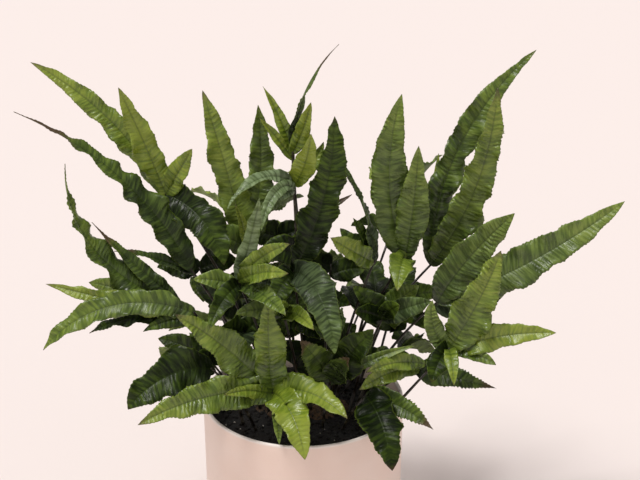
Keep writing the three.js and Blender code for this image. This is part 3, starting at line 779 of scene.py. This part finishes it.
class Course:
    """A curve in a vertical plane that bends evenly from its rise to its end."""

    def __init__(self, start, heading, rise, end, reach):
        self.start = Vector(start)
        self.heading = math.radians(heading)
        self.rise = math.radians(rise)
        self.bend = math.radians(end - rise)
        self.reach = reach

    def along(self, s):
        return direction(self.heading, self.rise + self.bend * s)

    def point(self, s):
        here = self.rise + self.bend * s
        if abs(self.bend) < 1e-6:
            run, climb = math.cos(here) * s, math.sin(here) * s
        else:
            run = (math.sin(here) - math.sin(self.rise)) / self.bend
            climb = (math.cos(self.rise) - math.cos(here)) / self.bend
        level = Vector((math.cos(self.heading), math.sin(self.heading), 0.0))
        return self.start + self.reach * (run * level + Vector((0.0, 0.0, climb)))


def stalk_course(frond):
    """A stalk's course, from its foot in the soil."""
    stalk = frond.stalk
    edge = Vector((*frond.root, SOIL_EDGE)) * MM
    depth = STALK_DEPTH * MM
    start = edge - direction(math.radians(stalk.heading), math.radians(stalk.rise)) * depth
    return Course(start, stalk.heading, stalk.rise, stalk.end, stalk.length * MM + depth)


# how finely the veins are drawn across them, how closely they lie, and how they change by blade
VEIN_SCALES = (90.0, 430.0, 40.0)


def fullness(s, taper):
    """The share of a leaflet's full width at a place s between its foot, 0, and its tip, 1."""
    widest = BLADE_SHOULDER / (BLADE_SHOULDER + taper)
    peak = widest**BLADE_SHOULDER * (1 - widest) ** taper
    return s**BLADE_SHOULDER * max(1 - s, 0.0) ** taper / peak


def upper_side(along, face, turned_by):
    """The direction that a leaflet's upper side faces, square to its length."""
    angle = math.radians(face)
    sky = Vector((math.cos(angle), math.sin(angle), BLADE_LIFT))
    sky -= along * sky.dot(along)
    sky.normalize()
    return Matrix.Rotation(math.radians(turned_by), 3, along) @ sky


# How blades vary beside their settings. A pitch is a distance along the blade, a rate is a number
# for each wave of the margin, and a pair is where something starts and is full, from foot to tip.
WANDER_GAIN = 1.6
SEED_STEP = (3.17, 1.93, 7.31)
LEAFLET_SEED_STEP = 0.61
OWN_STEP = 0.37
COLUMN_CROWD = 1.5
LEAST_ROWS = 16
FINE_TEETH = 0.6
FINE_STRETCH = 0.75
MARGINS_APART = 2.0
LOBE_RATE = 1.5
SMALL_LOBE = 0.5
SMALL_LOBE_RATE = 4.0
SCALLOP = 0.02
SCALLOP_STRETCH = 1.3
TOOTH_DRIFT = 0.3
TOOTH_DRIFT_PITCH = 10 * MM
TOOTH_START = (0.25, 0.8)
DEEPEST_TOOTH = 1.4 * MM
FOOT_HALF_WIDTH = 0.5 * MM
TIP_HALF_WIDTH = 0.12 * MM
SWAY = 8
SWAY_PITCH = 50 * MM
WAVE_SEED = 2.4
WAVE_SIDES_APART = 1.9
WAVE_DRIFT = 1.5
WAVE_DRIFT_PITCH = 30 * MM
RIPPLE = 0.9
RIPPLE_PITCH = 14 * MM
RIB_DRIFT = 2.6
RIB_DRIFT_PITCH = 9 * MM
RIB_START_ACROSS = (0.04, 0.2)
RIB_START_ALONG = (0.02, 0.12)
RIB_TIP = (0.8, 1.0)
RIB_TIP_FADE = 0.6
RIB_PATCH = 0.9
RIB_PATCH_PITCH = 16 * MM
USUAL_RIB = 0.6
LEAST_RIB = 0.15
CREASE_WIDTH = 0.9 * MM
CREASE_START = (0.03, 0.15)
CREASE_END = (0.85, 1.0)

# How stalks vary. STALK_END has pairs of a distance past the end and a share of the last radius.
LEAST_STALK_STEPS = 8
GIRTH_START = (0.3, 0.9)
STALK_LUMP = 0.07
STALK_LUMP_PITCH = 12 * MM
STALK_END = ((0.35 * MM, 0.7), (0.5 * MM, 0.3))


class Layers:
    """The attributes that the blade and stalk materials read."""

    def __init__(self, bm):
        self.flat = bm.verts.layers.float_vector.new("blade_flat")
        self.place = bm.verts.layers.float_vector.new("blade_place")
        self.finish = bm.verts.layers.float_vector.new("blade_finish")

    def mark(self, vert, flat, spot, finish):
        vert[self.flat] = flat
        vert[self.place] = spot
        vert[self.finish] = finish


def wander(seed, *values):
    """Smooth noise, mostly between -1 and 1, that differs from seed to seed."""
    spot = [0.0, 0.0, 0.0]
    for i, value in enumerate(values):
        spot[i] = value
    return WANDER_GAIN * noise.noise(Vector(spot) + Vector([step * seed for step in SEED_STEP]))


def blade_half_width(leaflet, look, blade, s, across, seed):
    """Half of the blade's width on one side, with its lobes, scallops and teeth."""
    run = s * leaflet.length * MM
    side = 1.0 if across >= 0 else -1.0
    half = leaflet.width * MM / 2 * fullness(s, leaflet.taper)
    waves = run / blade.wave_pitch
    lobes = wander(seed, waves * LOBE_RATE, side * MARGINS_APART)
    lobes += SMALL_LOBE * wander(seed + 8, waves * SMALL_LOBE_RATE, side * MARGINS_APART)
    scallops = math.sin(2 * math.pi * run / (blade.tooth_pitch * SCALLOP_STRETCH) + seed + side)
    half *= 1 + look.ruffle * blade.lobe * lobes + SCALLOP * scallops
    drift = TOOTH_DRIFT * wander(seed + 5, run / TOOTH_DRIFT_PITCH, side)
    saw = (run / blade.tooth_pitch + drift) % 1.0
    bite = blade.tooth * look.teeth * ease(s, *TOOTH_START) * (1 - saw)
    half -= min(half * bite, DEEPEST_TOOTH)
    return max(half, FOOT_HALF_WIDTH * (1 - s), TIP_HALF_WIDTH)


def wave_height(look, blade, run, across, half, seed):
    """How far the margin's waves lift the blade."""
    side = math.copysign(MARGINS_APART, across)
    turn = 2 * math.pi * run / blade.wave_pitch
    turn += WAVE_DRIFT * wander(seed + 4, run / WAVE_DRIFT_PITCH, side)
    wave = math.sin(turn + seed * WAVE_SEED + (WAVE_SIDES_APART if across > 0 else 0.0))
    wave += RIPPLE * wander(seed, run / RIPPLE_PITCH, across)
    return blade.wave * look.ruffle * half * across * across * wave


def rib_height(look, blade, s, run, across, offset, seed):
    """How far a wrinkle lifts the blade; wrinkles fade at the midrib, the foot and the tip."""
    slanted = run - blade.rib_slant * abs(offset)
    drift = RIB_DRIFT * wander(seed + 1, run / RIB_DRIFT_PITCH, across * 2)
    rib = math.sin(2 * math.pi * slanted / blade.rib_pitch + drift)
    fade = ease(abs(across), *RIB_START_ACROSS) * ease(s, *RIB_START_ALONG)
    fade *= 1 - RIB_TIP_FADE * ease(s, *RIB_TIP)
    patch = wander(seed + 3, run / RIB_PATCH_PITCH, across * 1.5)
    return blade.rib * look.ribs * fade * max(LEAST_RIB, USUAL_RIB + RIB_PATCH * patch) * rib


def add_blade(bm, layers, blade, course, leaflet, face, seed):
    """A leaflet's blade: a sheet laid along its course, folded, waved, wrinkled and thickened."""
    look = FINISHES[leaflet.finish]
    stretch = blade.stretch * (FINE_STRETCH if look.teeth > FINE_TEETH else 1.0)
    rows = max(LEAST_ROWS, round(course.reach / stretch))
    sheet = bmesh.ops.create_grid(bm, x_segments=blade.columns, y_segments=rows, size=1.0)["verts"]
    own = (seed * OWN_STEP) % 1.0
    for vert in sheet:
        across = math.copysign(abs(vert.co.x) ** COLUMN_CROWD, vert.co.x)
        s = (vert.co.y + 1) / 2
        run = s * course.reach
        half = blade_half_width(leaflet, look, blade, s, across, seed)
        along = course.along(s)
        sway = look.ruffle * SWAY * wander(seed + 2, run / SWAY_PITCH)
        up = upper_side(along, face, leaflet.turn * s + sway)
        offset = across * half
        crease = math.exp(-((offset / CREASE_WIDTH) ** 2))
        crease *= ease(s, *CREASE_START) * (1 - ease(s, *CREASE_END))
        lift = abs(across) * half * BLADE_FOLD
        lift += wave_height(look, blade, run, across, half, seed)
        lift += rib_height(look, blade, s, run, across, offset, seed)
        lift -= blade.midrib * crease
        vert.co = course.point(s) + up.cross(along) * offset + up * lift
        flat = (offset, run, abs(across))
        layers.mark(vert, flat, (s, own, 1.0), (look.fresh, look.painted_sheen, look.brown))
    faces = list({linked for vert in sheet for linked in vert.link_faces})
    upper = bmesh.ops.extrude_face_region(bm, geom=faces, use_keep_orig=True)["geom"]
    for vert in (made for made in upper if isinstance(made, bmesh.types.BMVert)):
        s = vert[layers.place].x
        vert.co += upper_side(course.along(s), face, leaflet.turn * s) * blade.thickness
        vert[layers.place] = (s, own, 0.0)


def stalk_stations(settings, course, girth, seed):
    """Pairs of a place along a stalk and its radius there, closed by a blunt end."""
    steps = max(LEAST_STALK_STEPS, round(course.reach / settings.stretch))
    stations = []
    for step in range(steps + 1):
        s = step / steps
        radius = settings.radius + (settings.tip_radius - settings.radius) * s
        radius *= 1 + (girth - 1) * ease(s, *GIRTH_START)
        radius *= 1 + STALK_LUMP * wander(seed, s * course.reach / STALK_LUMP_PITCH)
        stations.append((s, radius))
    last = stations[-1][1]
    blunt = [(1.0 + far / course.reach, last * share_of_last) for far, share_of_last in STALK_END]
    return stations + blunt


def add_stalk(bm, layers, settings, course, girth, seed):
    """A stalk: a round tube drawn out along its course, thinner towards its end."""
    ring = bmesh.ops.create_circle(bm, cap_ends=True, radius=1.0, segments=settings.sides)["verts"]
    cap = ring[0].link_faces[0]
    turn = Vector((0, 0, 1)).rotation_difference(course.along(0)).to_matrix()
    spokes = [turn @ vert.co for vert in cap.verts]
    before = course.along(0)
    own = (seed * OWN_STEP) % 1.0
    for index, (s, radius) in enumerate(stalk_stations(settings, course, girth, seed)):
        if index:
            geom = bmesh.ops.extrude_face_region(bm, geom=[cap], use_keep_orig=index == 1)["geom"]
            cap = next(made for made in geom if isinstance(made, bmesh.types.BMFace))
        along = course.along(min(s, 1.0))
        bent = before.rotation_difference(along).to_matrix()
        spokes = [bent @ spoke for spoke in spokes]
        before = along
        centre = course.point(s)
        for vert, spoke in zip(cap.verts, spokes):
            vert.co = centre + spoke * radius
            layers.mark(vert, (0.0, s * course.reach, 0.0), (s, own, 0.0), (girth - 1, 0.0, 0.0))


def frond_piece(name, frond, scene, materials, seed):
    """One frond: its stalk and its leaflets in one mesh."""
    bm = bmesh.new()
    layers = Layers(bm)
    course = stalk_course(frond)
    add_stalk(bm, layers, scene.fern_stalk, course, frond.girth, seed)
    for face in bm.faces:
        face.material_index = 1
    for index, leaflet in enumerate(frond.leaflets, start=1):
        foot = course.point(leaflet.at)
        path = Course(foot, leaflet.heading, leaflet.rise, leaflet.end, leaflet.length * MM)
        own_seed = seed + LEAFLET_SEED_STEP * index
        add_blade(bm, layers, scene.fern_blade, path, leaflet, frond.face, own_seed)
    bmesh.ops.recalc_face_normals(bm, faces=bm.faces)
    return finished(bm, name, materials)


def blade_veins(tree, blade, spread, run, own):
    """Fine veins that lean towards the tip on both sides of the midrib."""
    slanted = sums(tree, "SUBTRACT", run, sums(tree, "MULTIPLY", spread, blade.rib_slant))
    across_veins, along_blade, blade_step = VEIN_SCALES
    sheet = place(
        tree,
        sums(tree, "MULTIPLY", spread, across_veins),
        sums(tree, "MULTIPLY", slanted, along_blade),
        sums(tree, "MULTIPLY", own, blade_step),
    )
    veins = tree.nodes.new("ShaderNodeTexNoise")
    veins.inputs["Scale"].default_value = 1.0
    veins.inputs["Detail"].default_value = 2.5
    tree.links.new(sheet, veins.inputs["Vector"])
    return veins.outputs["Fac"]


def blade_material(blade):
    """Living leaf: green from a near-black painted shade to lime, wrinkled across, with painted
    highlight streaks and painted sheen on the veins, a darker line along the midrib's crease and a
    dried tip.
    """
    material, tree, shader = new_material("fern_blade")
    offset, run, edge = attribute(tree, "blade_flat")
    s, own, under = attribute(tree, "blade_place")
    fresh, painted_sheen, brown = attribute(tree, "blade_finish")
    patches, specks, grain = mottle(tree, object_place(tree), 55.0, 1400.0, 0.36)
    spread = sums(tree, "ABSOLUTE", offset)
    veins = blade_veins(tree, blade, spread, run, own)
    vein_highlight = between(tree, veins, 0.36, 0.66)

    # fresher towards the tip; lighter on the veins and darker between them, which is painted
    # highlight streaks and painted shade along the wrinkles
    ripeness = swayed(tree, fresh, s, 0.45, 0.4)
    ripeness = swayed(tree, ripeness, patches, 0.5, 0.16)
    ripeness = swayed(tree, ripeness, own, 0.5, 0.12)
    ripeness = swayed(tree, ripeness, vein_highlight, 0.4, 0.27, clamp=True)
    # the darkest stop is painted shade: near-black for the shaded middle of the fern and the
    # darkest leaf bases
    greens = (
        (0.0, blade.deep_shade),
        (0.25, blade.dark),
        (0.5, blade.green),
        (0.78, blade.fresh),
        (1.0, blade.lime),
    )
    tint = graded(tree, ripeness, greens)
    # painted sheen: the silvery cast follows the veins and stands for their highlights
    cast = sums(tree, "MULTIPLY", painted_sheen, between(tree, vein_highlight, 0.0, 1.0, 0.35, 1.0), clamp=True)
    tint = mixed(tree, cast, tint, blade.painted_sheen)

    # darker along the midrib's crease, ending before the tip
    line = between(tree, spread, 0.2 * MM, 0.9 * MM, 0.38, 0.0)
    line = sums(tree, "MULTIPLY", line, between(tree, s, 0.8, 1.0, 1.0, 0.0))
    tint = mixed(tree, line, tint, blade.dark)
    tint = mixed(tree, sums(tree, "MULTIPLY", under, 0.4), tint, blade.under)
    rim = sums(tree, "MULTIPLY", between(tree, edge, 0.9, 1.0), 0.35)
    tint = mixed(tree, rim, tint, blade.fresh)

    # the tip dries from its margins inwards
    start = sums(tree, "SUBTRACT", 1.06, sums(tree, "MULTIPLY", brown, 0.34))
    towards_tip = sums(tree, "ADD", s, sums(tree, "MULTIPLY", edge, 0.04))
    dried = between(tree, towards_tip, start, sums(tree, "ADD", start, 0.12))
    tint = mixed(tree, sums(tree, "MULTIPLY", dried, 0.9), tint, blade.brown)
    tint = mixed(tree, sums(tree, "MULTIPLY", specks, 0.12), tint, blade.brown)
    feed(tree, tint, shader.inputs["Base Color"])

    rough = between(tree, under, 0.0, 1.0, blade.gloss, blade.gloss + 0.2)
    feed(tree, swayed(tree, rough, patches, 0.5, 0.12), shader.inputs["Roughness"])
    height = sums(tree, "ADD", veins, sums(tree, "MULTIPLY", grain, 0.12))
    feed(tree, bumped(tree, height, 0.9 * MM, 1.0), shader.inputs["Normal"])
    feed(tree, between(tree, fresh, 0.0, 0.7, 0.12, 0.5), shader.inputs["Specular IOR Level"])
    return material


def stalk_material(stalk):
    """Wiry stalk: near black, with fine lighter streaks along it, paler where it is swollen."""
    material, tree, shader = new_material("fern_stalk")
    _, run, _ = attribute(tree, "blade_flat")
    s, own, _ = attribute(tree, "blade_place")
    swelling, _, _ = attribute(tree, "blade_finish")
    patches, specks, grain = mottle(tree, object_place(tree), 160.0, 1500.0, 0.35)
    streaks = tree.nodes.new("ShaderNodeTexNoise")
    streaks.inputs["Scale"].default_value = 1.0
    streaks.inputs["Detail"].default_value = 3.0
    along = sums(tree, "MULTIPLY", run, 70.0)
    around = sums(tree, "MULTIPLY", own, 50.0)
    feed(tree, place(tree, along, around, patches), streaks.inputs["Vector"])
    pale = sums(tree, "MULTIPLY", between(tree, streaks.outputs["Fac"], 0.4, 0.7), 0.5)
    swollen = sums(tree, "MULTIPLY", between(tree, s, 0.5, 1.0), swelling)
    pale = sums(tree, "ADD", pale, swollen, clamp=True)
    feed(tree, mixed(tree, pale, stalk.colour, stalk.streak), shader.inputs["Base Color"])
    feed(tree, between(tree, specks, 0.0, 1.0, 0.38, 0.55), shader.inputs["Roughness"])
    height = sums(tree, "ADD", grain, streaks.outputs["Fac"])
    feed(tree, bumped(tree, height, 0.2 * MM, 0.6), shader.inputs["Normal"])
    return material


class FERN_OT_fronds(bpy.types.Operator):
    """Grow the fern's fronds: every stalk with its leaflets"""

    bl_idname = "fern.fronds"
    bl_label = "Fronds"

    def execute(self, context):
        scene = context.scene
        materials = (blade_material(scene.fern_blade), stalk_material(scene.fern_stalk))
        for index, (node, frond) in enumerate(FRONDS.items()):
            name = node.replace("frond_", "leafy_")
            piece = frond_piece(name, frond, scene, materials, index + 1.0)
            placed(piece, "frond", node)
        return {"FINISHED"}


# ---------- the pot ----------

# faces up the outer and the inner wall, and how much the lip's inner side slants
OUTER_STEPS = 18
INNER_STEPS = 6
LIP_SLANT = 0.2 * MM


def pot_profile(pot):
    """The pot's section, from the middle of its base round to the middle of its floor inside."""
    foot_x = pot.foot_radius - pot.foot_round
    slope = (pot.radius - pot.foot_radius) / pot.height
    lip_z = pot.height - pot.lip / 2
    top = pot.height - pot.lip_depth
    low = pot.floor + pot.foot_round

    def inside(z):
        return pot.foot_radius + slope * z - pot.wall

    profile = [(0.0, 0.0), (foot_x * 0.5, 0.0), (foot_x * 0.9, 0.0)]
    profile += quarter((foot_x, pot.foot_round), pot.foot_round, -90, 0, 6)
    for step in range(1, OUTER_STEPS):
        z = pot.foot_round + (lip_z - pot.foot_round) * step / OUTER_STEPS
        profile.append((pot.foot_radius + slope * z, z))
    profile += quarter((pot.radius - pot.lip / 2, lip_z), pot.lip / 2, 0, 180, 10)
    profile.append((pot.radius - pot.lip - LIP_SLANT, pot.height - pot.lip_depth * 0.6))
    for step in range(INNER_STEPS + 1):
        z = top - (top - low) * step / INNER_STEPS
        profile.append((inside(z), z))
    hollow_x = inside(low) - pot.foot_round
    profile += quarter((hollow_x, low), pot.foot_round, -10, -90, 4)
    profile += [(hollow_x * 0.5, pot.floor), (0.0, pot.floor)]
    return profile


def pot_material(pot):
    """Blush ceramic with soft patches, fine specks and a paler rim."""
    material, tree, shader = new_material("fern_pot_clay")
    where = object_place(tree)
    patches, specks, grain = mottle(tree, where, 22.0, 900.0, 0.33)
    tint = mixed(tree, sums(tree, "MULTIPLY", patches, 0.8), pot.colour, pot.pale)
    tint = mixed(tree, sums(tree, "MULTIPLY", specks, 0.25), tint, pot.speck)
    parts = tree.nodes.new("ShaderNodeSeparateXYZ")
    tree.links.new(where, parts.inputs["Vector"])
    rim = between(tree, parts.outputs["Z"], pot.height - 2.6 * MM, pot.height - 0.6 * MM)
    tint = mixed(tree, rim, tint, pot.lip_colour)
    feed(tree, tint, shader.inputs["Base Color"])
    rough = between(tree, patches, 0.0, 1.0, pot.gloss, pot.gloss + 0.1)
    feed(tree, rough, shader.inputs["Roughness"])
    feed(tree, bumped(tree, grain, 0.12 * MM, 0.35), shader.inputs["Normal"])
    return material


class FERN_OT_pot(bpy.types.Operator):
    """Turn the pot on its axis"""

    bl_idname = "fern.pot"
    bl_label = "Pot"

    def execute(self, context):
        pot = context.scene.fern_pot
        bm = bmesh.new()
        turned(bm, pot_profile(pot), pot.sides)
        for vert in bm.verts:
            outward = Vector((vert.co.x, vert.co.y, 0.0))
            if outward.length > 1e-4 and vert.co.z > pot.foot_round:
                vert.co += outward.normalized() * pot.unevenness * (noise.noise(vert.co * 18) - 0.4)
        placed(finished(bm, "turned_pot", [pot_material(pot)]), "pot", "pot")
        return {"FINISHED"}


# ---------- the soil ----------


# Pairs of number per metre and height of the soil's waves, and bounds for a loose lump's size,
# stretch along its three axes and roughness.
SOIL_WAVES = ((140, 1.0), (330, 0.6), (800, 0.35))
LUMP_SIZE = (0.4, 1.5)
LUMP_STRETCH = ((0.7, 1.4), (0.7, 1.3), (0.5, 1.0))
LUMP_ROUGHNESS = (-0.28, 0.22)


def soil_height(soil, x, y):
    """Height of the soil's surface."""
    low, high = SOIL_EDGE * MM, SOIL_HIGH.z
    reach = min(math.hypot(x, y) / SOIL_HIGH.x, 1.0)
    spot = Vector((x, y, 0.0))
    lumps = sum(size * noise.noise(spot * rate) for rate, size in SOIL_WAVES)
    return low + (high - low) * (1 - reach * reach) + soil.lumps * 0.55 * (lumps - 0.45)


def soil_material(name, soil, dampness):
    """Damp, dark potting soil with drier crumbs."""
    material, tree, shader = new_material(name)
    patches, specks, grain = mottle(tree, object_place(tree), 120.0, 900.0, 0.42)
    tint = mixed(tree, sums(tree, "MULTIPLY", patches, dampness), soil.colour, soil.dry)
    tint = mixed(tree, sums(tree, "MULTIPLY", specks, 0.6), tint, soil.dry)
    feed(tree, tint, shader.inputs["Base Color"])
    feed(tree, between(tree, patches, 0.0, 1.0, 0.78, 0.97), shader.inputs["Roughness"])
    feed(tree, bumped(tree, grain, 0.8 * MM, 0.9), shader.inputs["Normal"])
    return material


def grit_material(soil):
    """Pale, porous grit."""
    material, tree, shader = new_material("fern_grit")
    patches, specks, grain = mottle(tree, object_place(tree), 400.0, 2500.0, 0.4)
    tint = mixed(tree, sums(tree, "MULTIPLY", specks, 0.5), soil.grit_colour, soil.dry)
    feed(tree, tint, shader.inputs["Base Color"])
    feed(tree, between(tree, patches, 0.0, 1.0, 0.75, 0.95), shader.inputs["Roughness"])
    feed(tree, bumped(tree, grain, 0.3 * MM, 0.8), shader.inputs["Normal"])
    return material


def scatter(bm, draws, soil, number, radius, spread, sink):
    """Adds number of small rough lumps on the soil's surface."""
    for _ in range(number):
        far = spread * math.sqrt(draws.random())
        angle = draws.uniform(0, 2 * math.pi)
        x, y = far * math.cos(angle), far * math.sin(angle)
        size = radius * draws.uniform(*LUMP_SIZE)
        stretch = Vector([draws.uniform(*bounds) for bounds in LUMP_STRETCH])
        centre = Vector((x, y, soil_height(soil, x, y) + size * sink))
        lump = bmesh.ops.create_icosphere(bm, subdivisions=1, radius=1.0)["verts"]
        tilt = Matrix.Rotation(draws.uniform(0, math.pi), 3, (draws.random(), draws.random(), 1.0))
        for vert in lump:
            rough = 1 + draws.uniform(*LUMP_ROUGHNESS)
            own = Vector(a * b for a, b in zip(vert.co, stretch)) * size * rough
            vert.co = centre + tilt @ own


# below 1, the soil's rings lie closer together near the pot
RING_CROWD = 0.9


class FERN_OT_soil(bpy.types.Operator):
    """Fill the pot with soil, loose crumbs and pale grits"""

    bl_idname = "fern.soil"
    bl_label = "Soil"

    def execute(self, context):
        soil = context.scene.fern_soil
        pot = context.scene.fern_pot
        edge = SOIL_HIGH.x
        low = SOIL_LOW.z
        top = SOIL_EDGE * MM
        profile = [(0.0, low), (edge * 0.9, low), (edge - 1.6 * MM, low + pot.foot_round)]
        profile += [(edge - 0.8 * MM, (low + top) / 2), (edge, top - 1 * MM)]
        for ring in range(soil.rings + 1):
            profile.append((edge * (1 - ring / soil.rings) ** RING_CROWD, top + 0.5 * MM))
        bm = bmesh.new()
        turned(bm, profile, soil.sides)
        for vert in bm.verts:
            if vert.co.z > top:
                vert.co.z = soil_height(soil, vert.co.x, vert.co.y)
        bed = finished(bm, "soil_bed", [soil_material("fern_soil", soil, 0.45)])
        placed(bed, "soil", "soil")
        draws = random.Random(31)
        bm = bmesh.new()
        scatter(bm, draws, soil, soil.crumbs, soil.crumb, edge - 2.2 * MM, 0.1)
        bmesh.ops.recalc_face_normals(bm, faces=bm.faces)
        placed(finished(bm, "soil_crumbs", [soil_material("fern_crumb", soil, 0.9)]), "soil")
        bm = bmesh.new()
        scatter(bm, draws, soil, soil.grits, soil.grit, edge - 2.4 * MM, 0.5)
        bmesh.ops.recalc_face_normals(bm, faces=bm.faces)
        placed(finished(bm, "soil_grits", [grit_material(soil)]), "soil")
        return {"FINISHED"}


# ---------- the rootstock ----------


def rootstock_material(rootstock):
    """Rough brown rootstock under dry scales."""
    material, tree, shader = new_material("fern_rootstock")
    where = object_place(tree)
    patches, specks, grain = mottle(tree, where, 180.0, 1100.0, 0.4)
    scales = tree.nodes.new("ShaderNodeTexVoronoi")
    scales.inputs["Scale"].default_value = 420.0
    tree.links.new(where, scales.inputs["Vector"])
    flake = between(tree, scales.outputs["Distance"], 0.1, 0.6)
    dry = sums(tree, "MULTIPLY", flake, patches)
    tint = mixed(tree, dry, rootstock.colour, rootstock.scale_colour)
    tint = mixed(tree, sums(tree, "MULTIPLY", specks, 0.4), tint, rootstock.colour)
    feed(tree, tint, shader.inputs["Base Color"])
    feed(tree, between(tree, flake, 0.0, 1.0, 0.7, 0.95), shader.inputs["Roughness"])
    height = sums(tree, "ADD", grain, flake)
    feed(tree, bumped(tree, height, 0.7 * MM, 0.9), shader.inputs["Normal"])
    return material


class FERN_OT_rootstock(bpy.types.Operator):
    """Roughen the rootstock that the stalks grow from"""

    bl_idname = "fern.rootstock"
    bl_label = "Rootstock"

    def execute(self, context):
        settings = context.scene.fern_rootstock
        bm = bmesh.new()
        bm.from_mesh(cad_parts["rootstock"].data)
        bmesh.ops.remove_doubles(bm, verts=bm.verts, dist=1e-5)
        lump = finished(bm, "rootstock_lump", [])
        remesh = lump.modifiers.new("remesh", "REMESH")
        remesh.mode = "VOXEL"
        remesh.voxel_size = settings.voxel
        graph = context.evaluated_depsgraph_get()
        fine = bpy.data.meshes.new_from_object(lump.evaluated_get(graph))
        bm = bmesh.new()
        bm.from_mesh(fine)
        bpy.data.objects.remove(lump)
        bpy.data.meshes.remove(fine)
        for vert in bm.verts:
            rough = noise.noise(vert.co * 220) + 0.5 * noise.noise(vert.co * 600)
            vert.co += vert.normal * settings.scales * rough
        axes = {"use_axis_x": True, "use_axis_y": True, "use_axis_z": True}
        bmesh.ops.smooth_vert(bm, verts=bm.verts, factor=0.2, **axes)
        piece = finished(bm, "scaly_rootstock", [rootstock_material(settings)])
        placed(piece, "rootstock", "rootstock")
        return {"FINISHED"}


# ---------- the stage ----------


def soft_sun(name, stage):
    """The main light: a wide, soft source high on the camera's left."""
    data = bpy.data.lights.new(name, "SUN")
    data.energy = stage.key
    data.angle = stage.key_spread
    data.color = (1.0, 0.975, 0.95)
    light = bpy.data.objects.new(name, data)
    towards = -direction(math.radians(-90) - stage.key_heading, stage.key_height)
    light.rotation_euler = towards.to_track_quat("-Z", "Y").to_euler()
    bpy.context.scene.collection.objects.link(light)


def floor_material(stage):
    """Plain matt floor, very slightly uneven in tone."""
    material, tree, shader = new_material("stage_floor")
    patches, _, _ = mottle(tree, object_place(tree), 0.8, 60.0, 0.3)
    tint = mixed(tree, sums(tree, "MULTIPLY", patches, 0.04), stage.floor_colour, (0.8, 0.74, 0.72))
    feed(tree, tint, shader.inputs["Base Color"])
    shader.inputs["Roughness"].default_value = 0.9
    return material


class FERN_OT_stage(bpy.types.Operator):
    """Set up the floor, the lights and the camera"""

    bl_idname = "fern.stage"
    bl_label = "Stage"

    def execute(self, context):
        scene = context.scene
        stage = scene.fern_stage
        bm = bmesh.new()
        bmesh.ops.create_grid(bm, x_segments=8, y_segments=8, size=stage.floor / 2)
        finished(bm, "stage_floor", [floor_material(stage)])

        world = bpy.data.worlds.new("stage_light")
        world.use_nodes = True
        background = world.node_tree.nodes["Background"]
        background.inputs["Color"].default_value = (*stage.sky_colour, 1.0)
        background.inputs["Strength"].default_value = stage.sky
        scene.world = world
        soft_sun("key_light", stage)

        data = bpy.data.cameras.new("camera")
        data.sensor_width = 36.0
        data.lens = stage.lens
        data.clip_end = 100.0
        camera = bpy.data.objects.new("camera", data)
        aim = Vector(stage.aim)
        back = Vector((0.0, -math.cos(stage.elevation), math.sin(stage.elevation)))
        camera.location = aim + back * stage.distance
        camera.rotation_euler = (-back).to_track_quat("-Z", "Y").to_euler()
        scene.collection.objects.link(camera)
        scene.camera = camera
        scene.view_settings.view_transform = "Standard"
        scene.view_settings.look = "None"
        return {"FINISHED"}


# ---------- the add-on ----------


class FERN_PT_panel(bpy.types.Panel):
    """The fern's settings and the buttons that build it"""

    bl_idname = "FERN_PT_panel"
    bl_label = "Potted fern"
    bl_space_type = "VIEW_3D"
    bl_region_type = "UI"
    bl_category = "Fern"

    def draw(self, context):
        for title, group, operators in PARTS:
            box = self.layout.box()
            box.label(text=title)
            settings = getattr(context.scene, group)
            for name in settings.__annotations__:
                box.prop(settings, name)
            for operator in operators:
                box.operator(operator)


PARTS = (
    ("Pot", "fern_pot", ("fern.pot",)),
    ("Soil", "fern_soil", ("fern.soil",)),
    ("Rootstock", "fern_rootstock", ("fern.rootstock",)),
    ("Stalks", "fern_stalk", ()),
    ("Blades", "fern_blade", ("fern.fronds",)),
    ("Stage", "fern_stage", ("fern.stage",)),
)
SETTINGS = {
    "fern_pot": FernPotSettings,
    "fern_soil": FernSoilSettings,
    "fern_rootstock": FernRootstockSettings,
    "fern_stalk": FernStalkSettings,
    "fern_blade": FernBladeSettings,
    "fern_stage": FernStageSettings,
}
CLASSES = (
    *SETTINGS.values(),
    FERN_OT_pot,
    FERN_OT_soil,
    FERN_OT_rootstock,
    FERN_OT_fronds,
    FERN_OT_stage,
    FERN_PT_panel,
)


def register():
    for each in CLASSES:
        bpy.utils.register_class(each)
    for name, group in SETTINGS.items():
        setattr(bpy.types.Scene, name, PointerProperty(type=group))


def unregister():
    for name in SETTINGS:
        delattr(bpy.types.Scene, name)
    for each in reversed(CLASSES):
        bpy.utils.unregister_class(each)


def main():
    register()
    bpy.ops.fern.pot()
    bpy.ops.fern.soil()
    bpy.ops.fern.rootstock()
    bpy.ops.fern.fronds()
    bpy.ops.fern.stage()


if __name__ == "__main__":
    main()
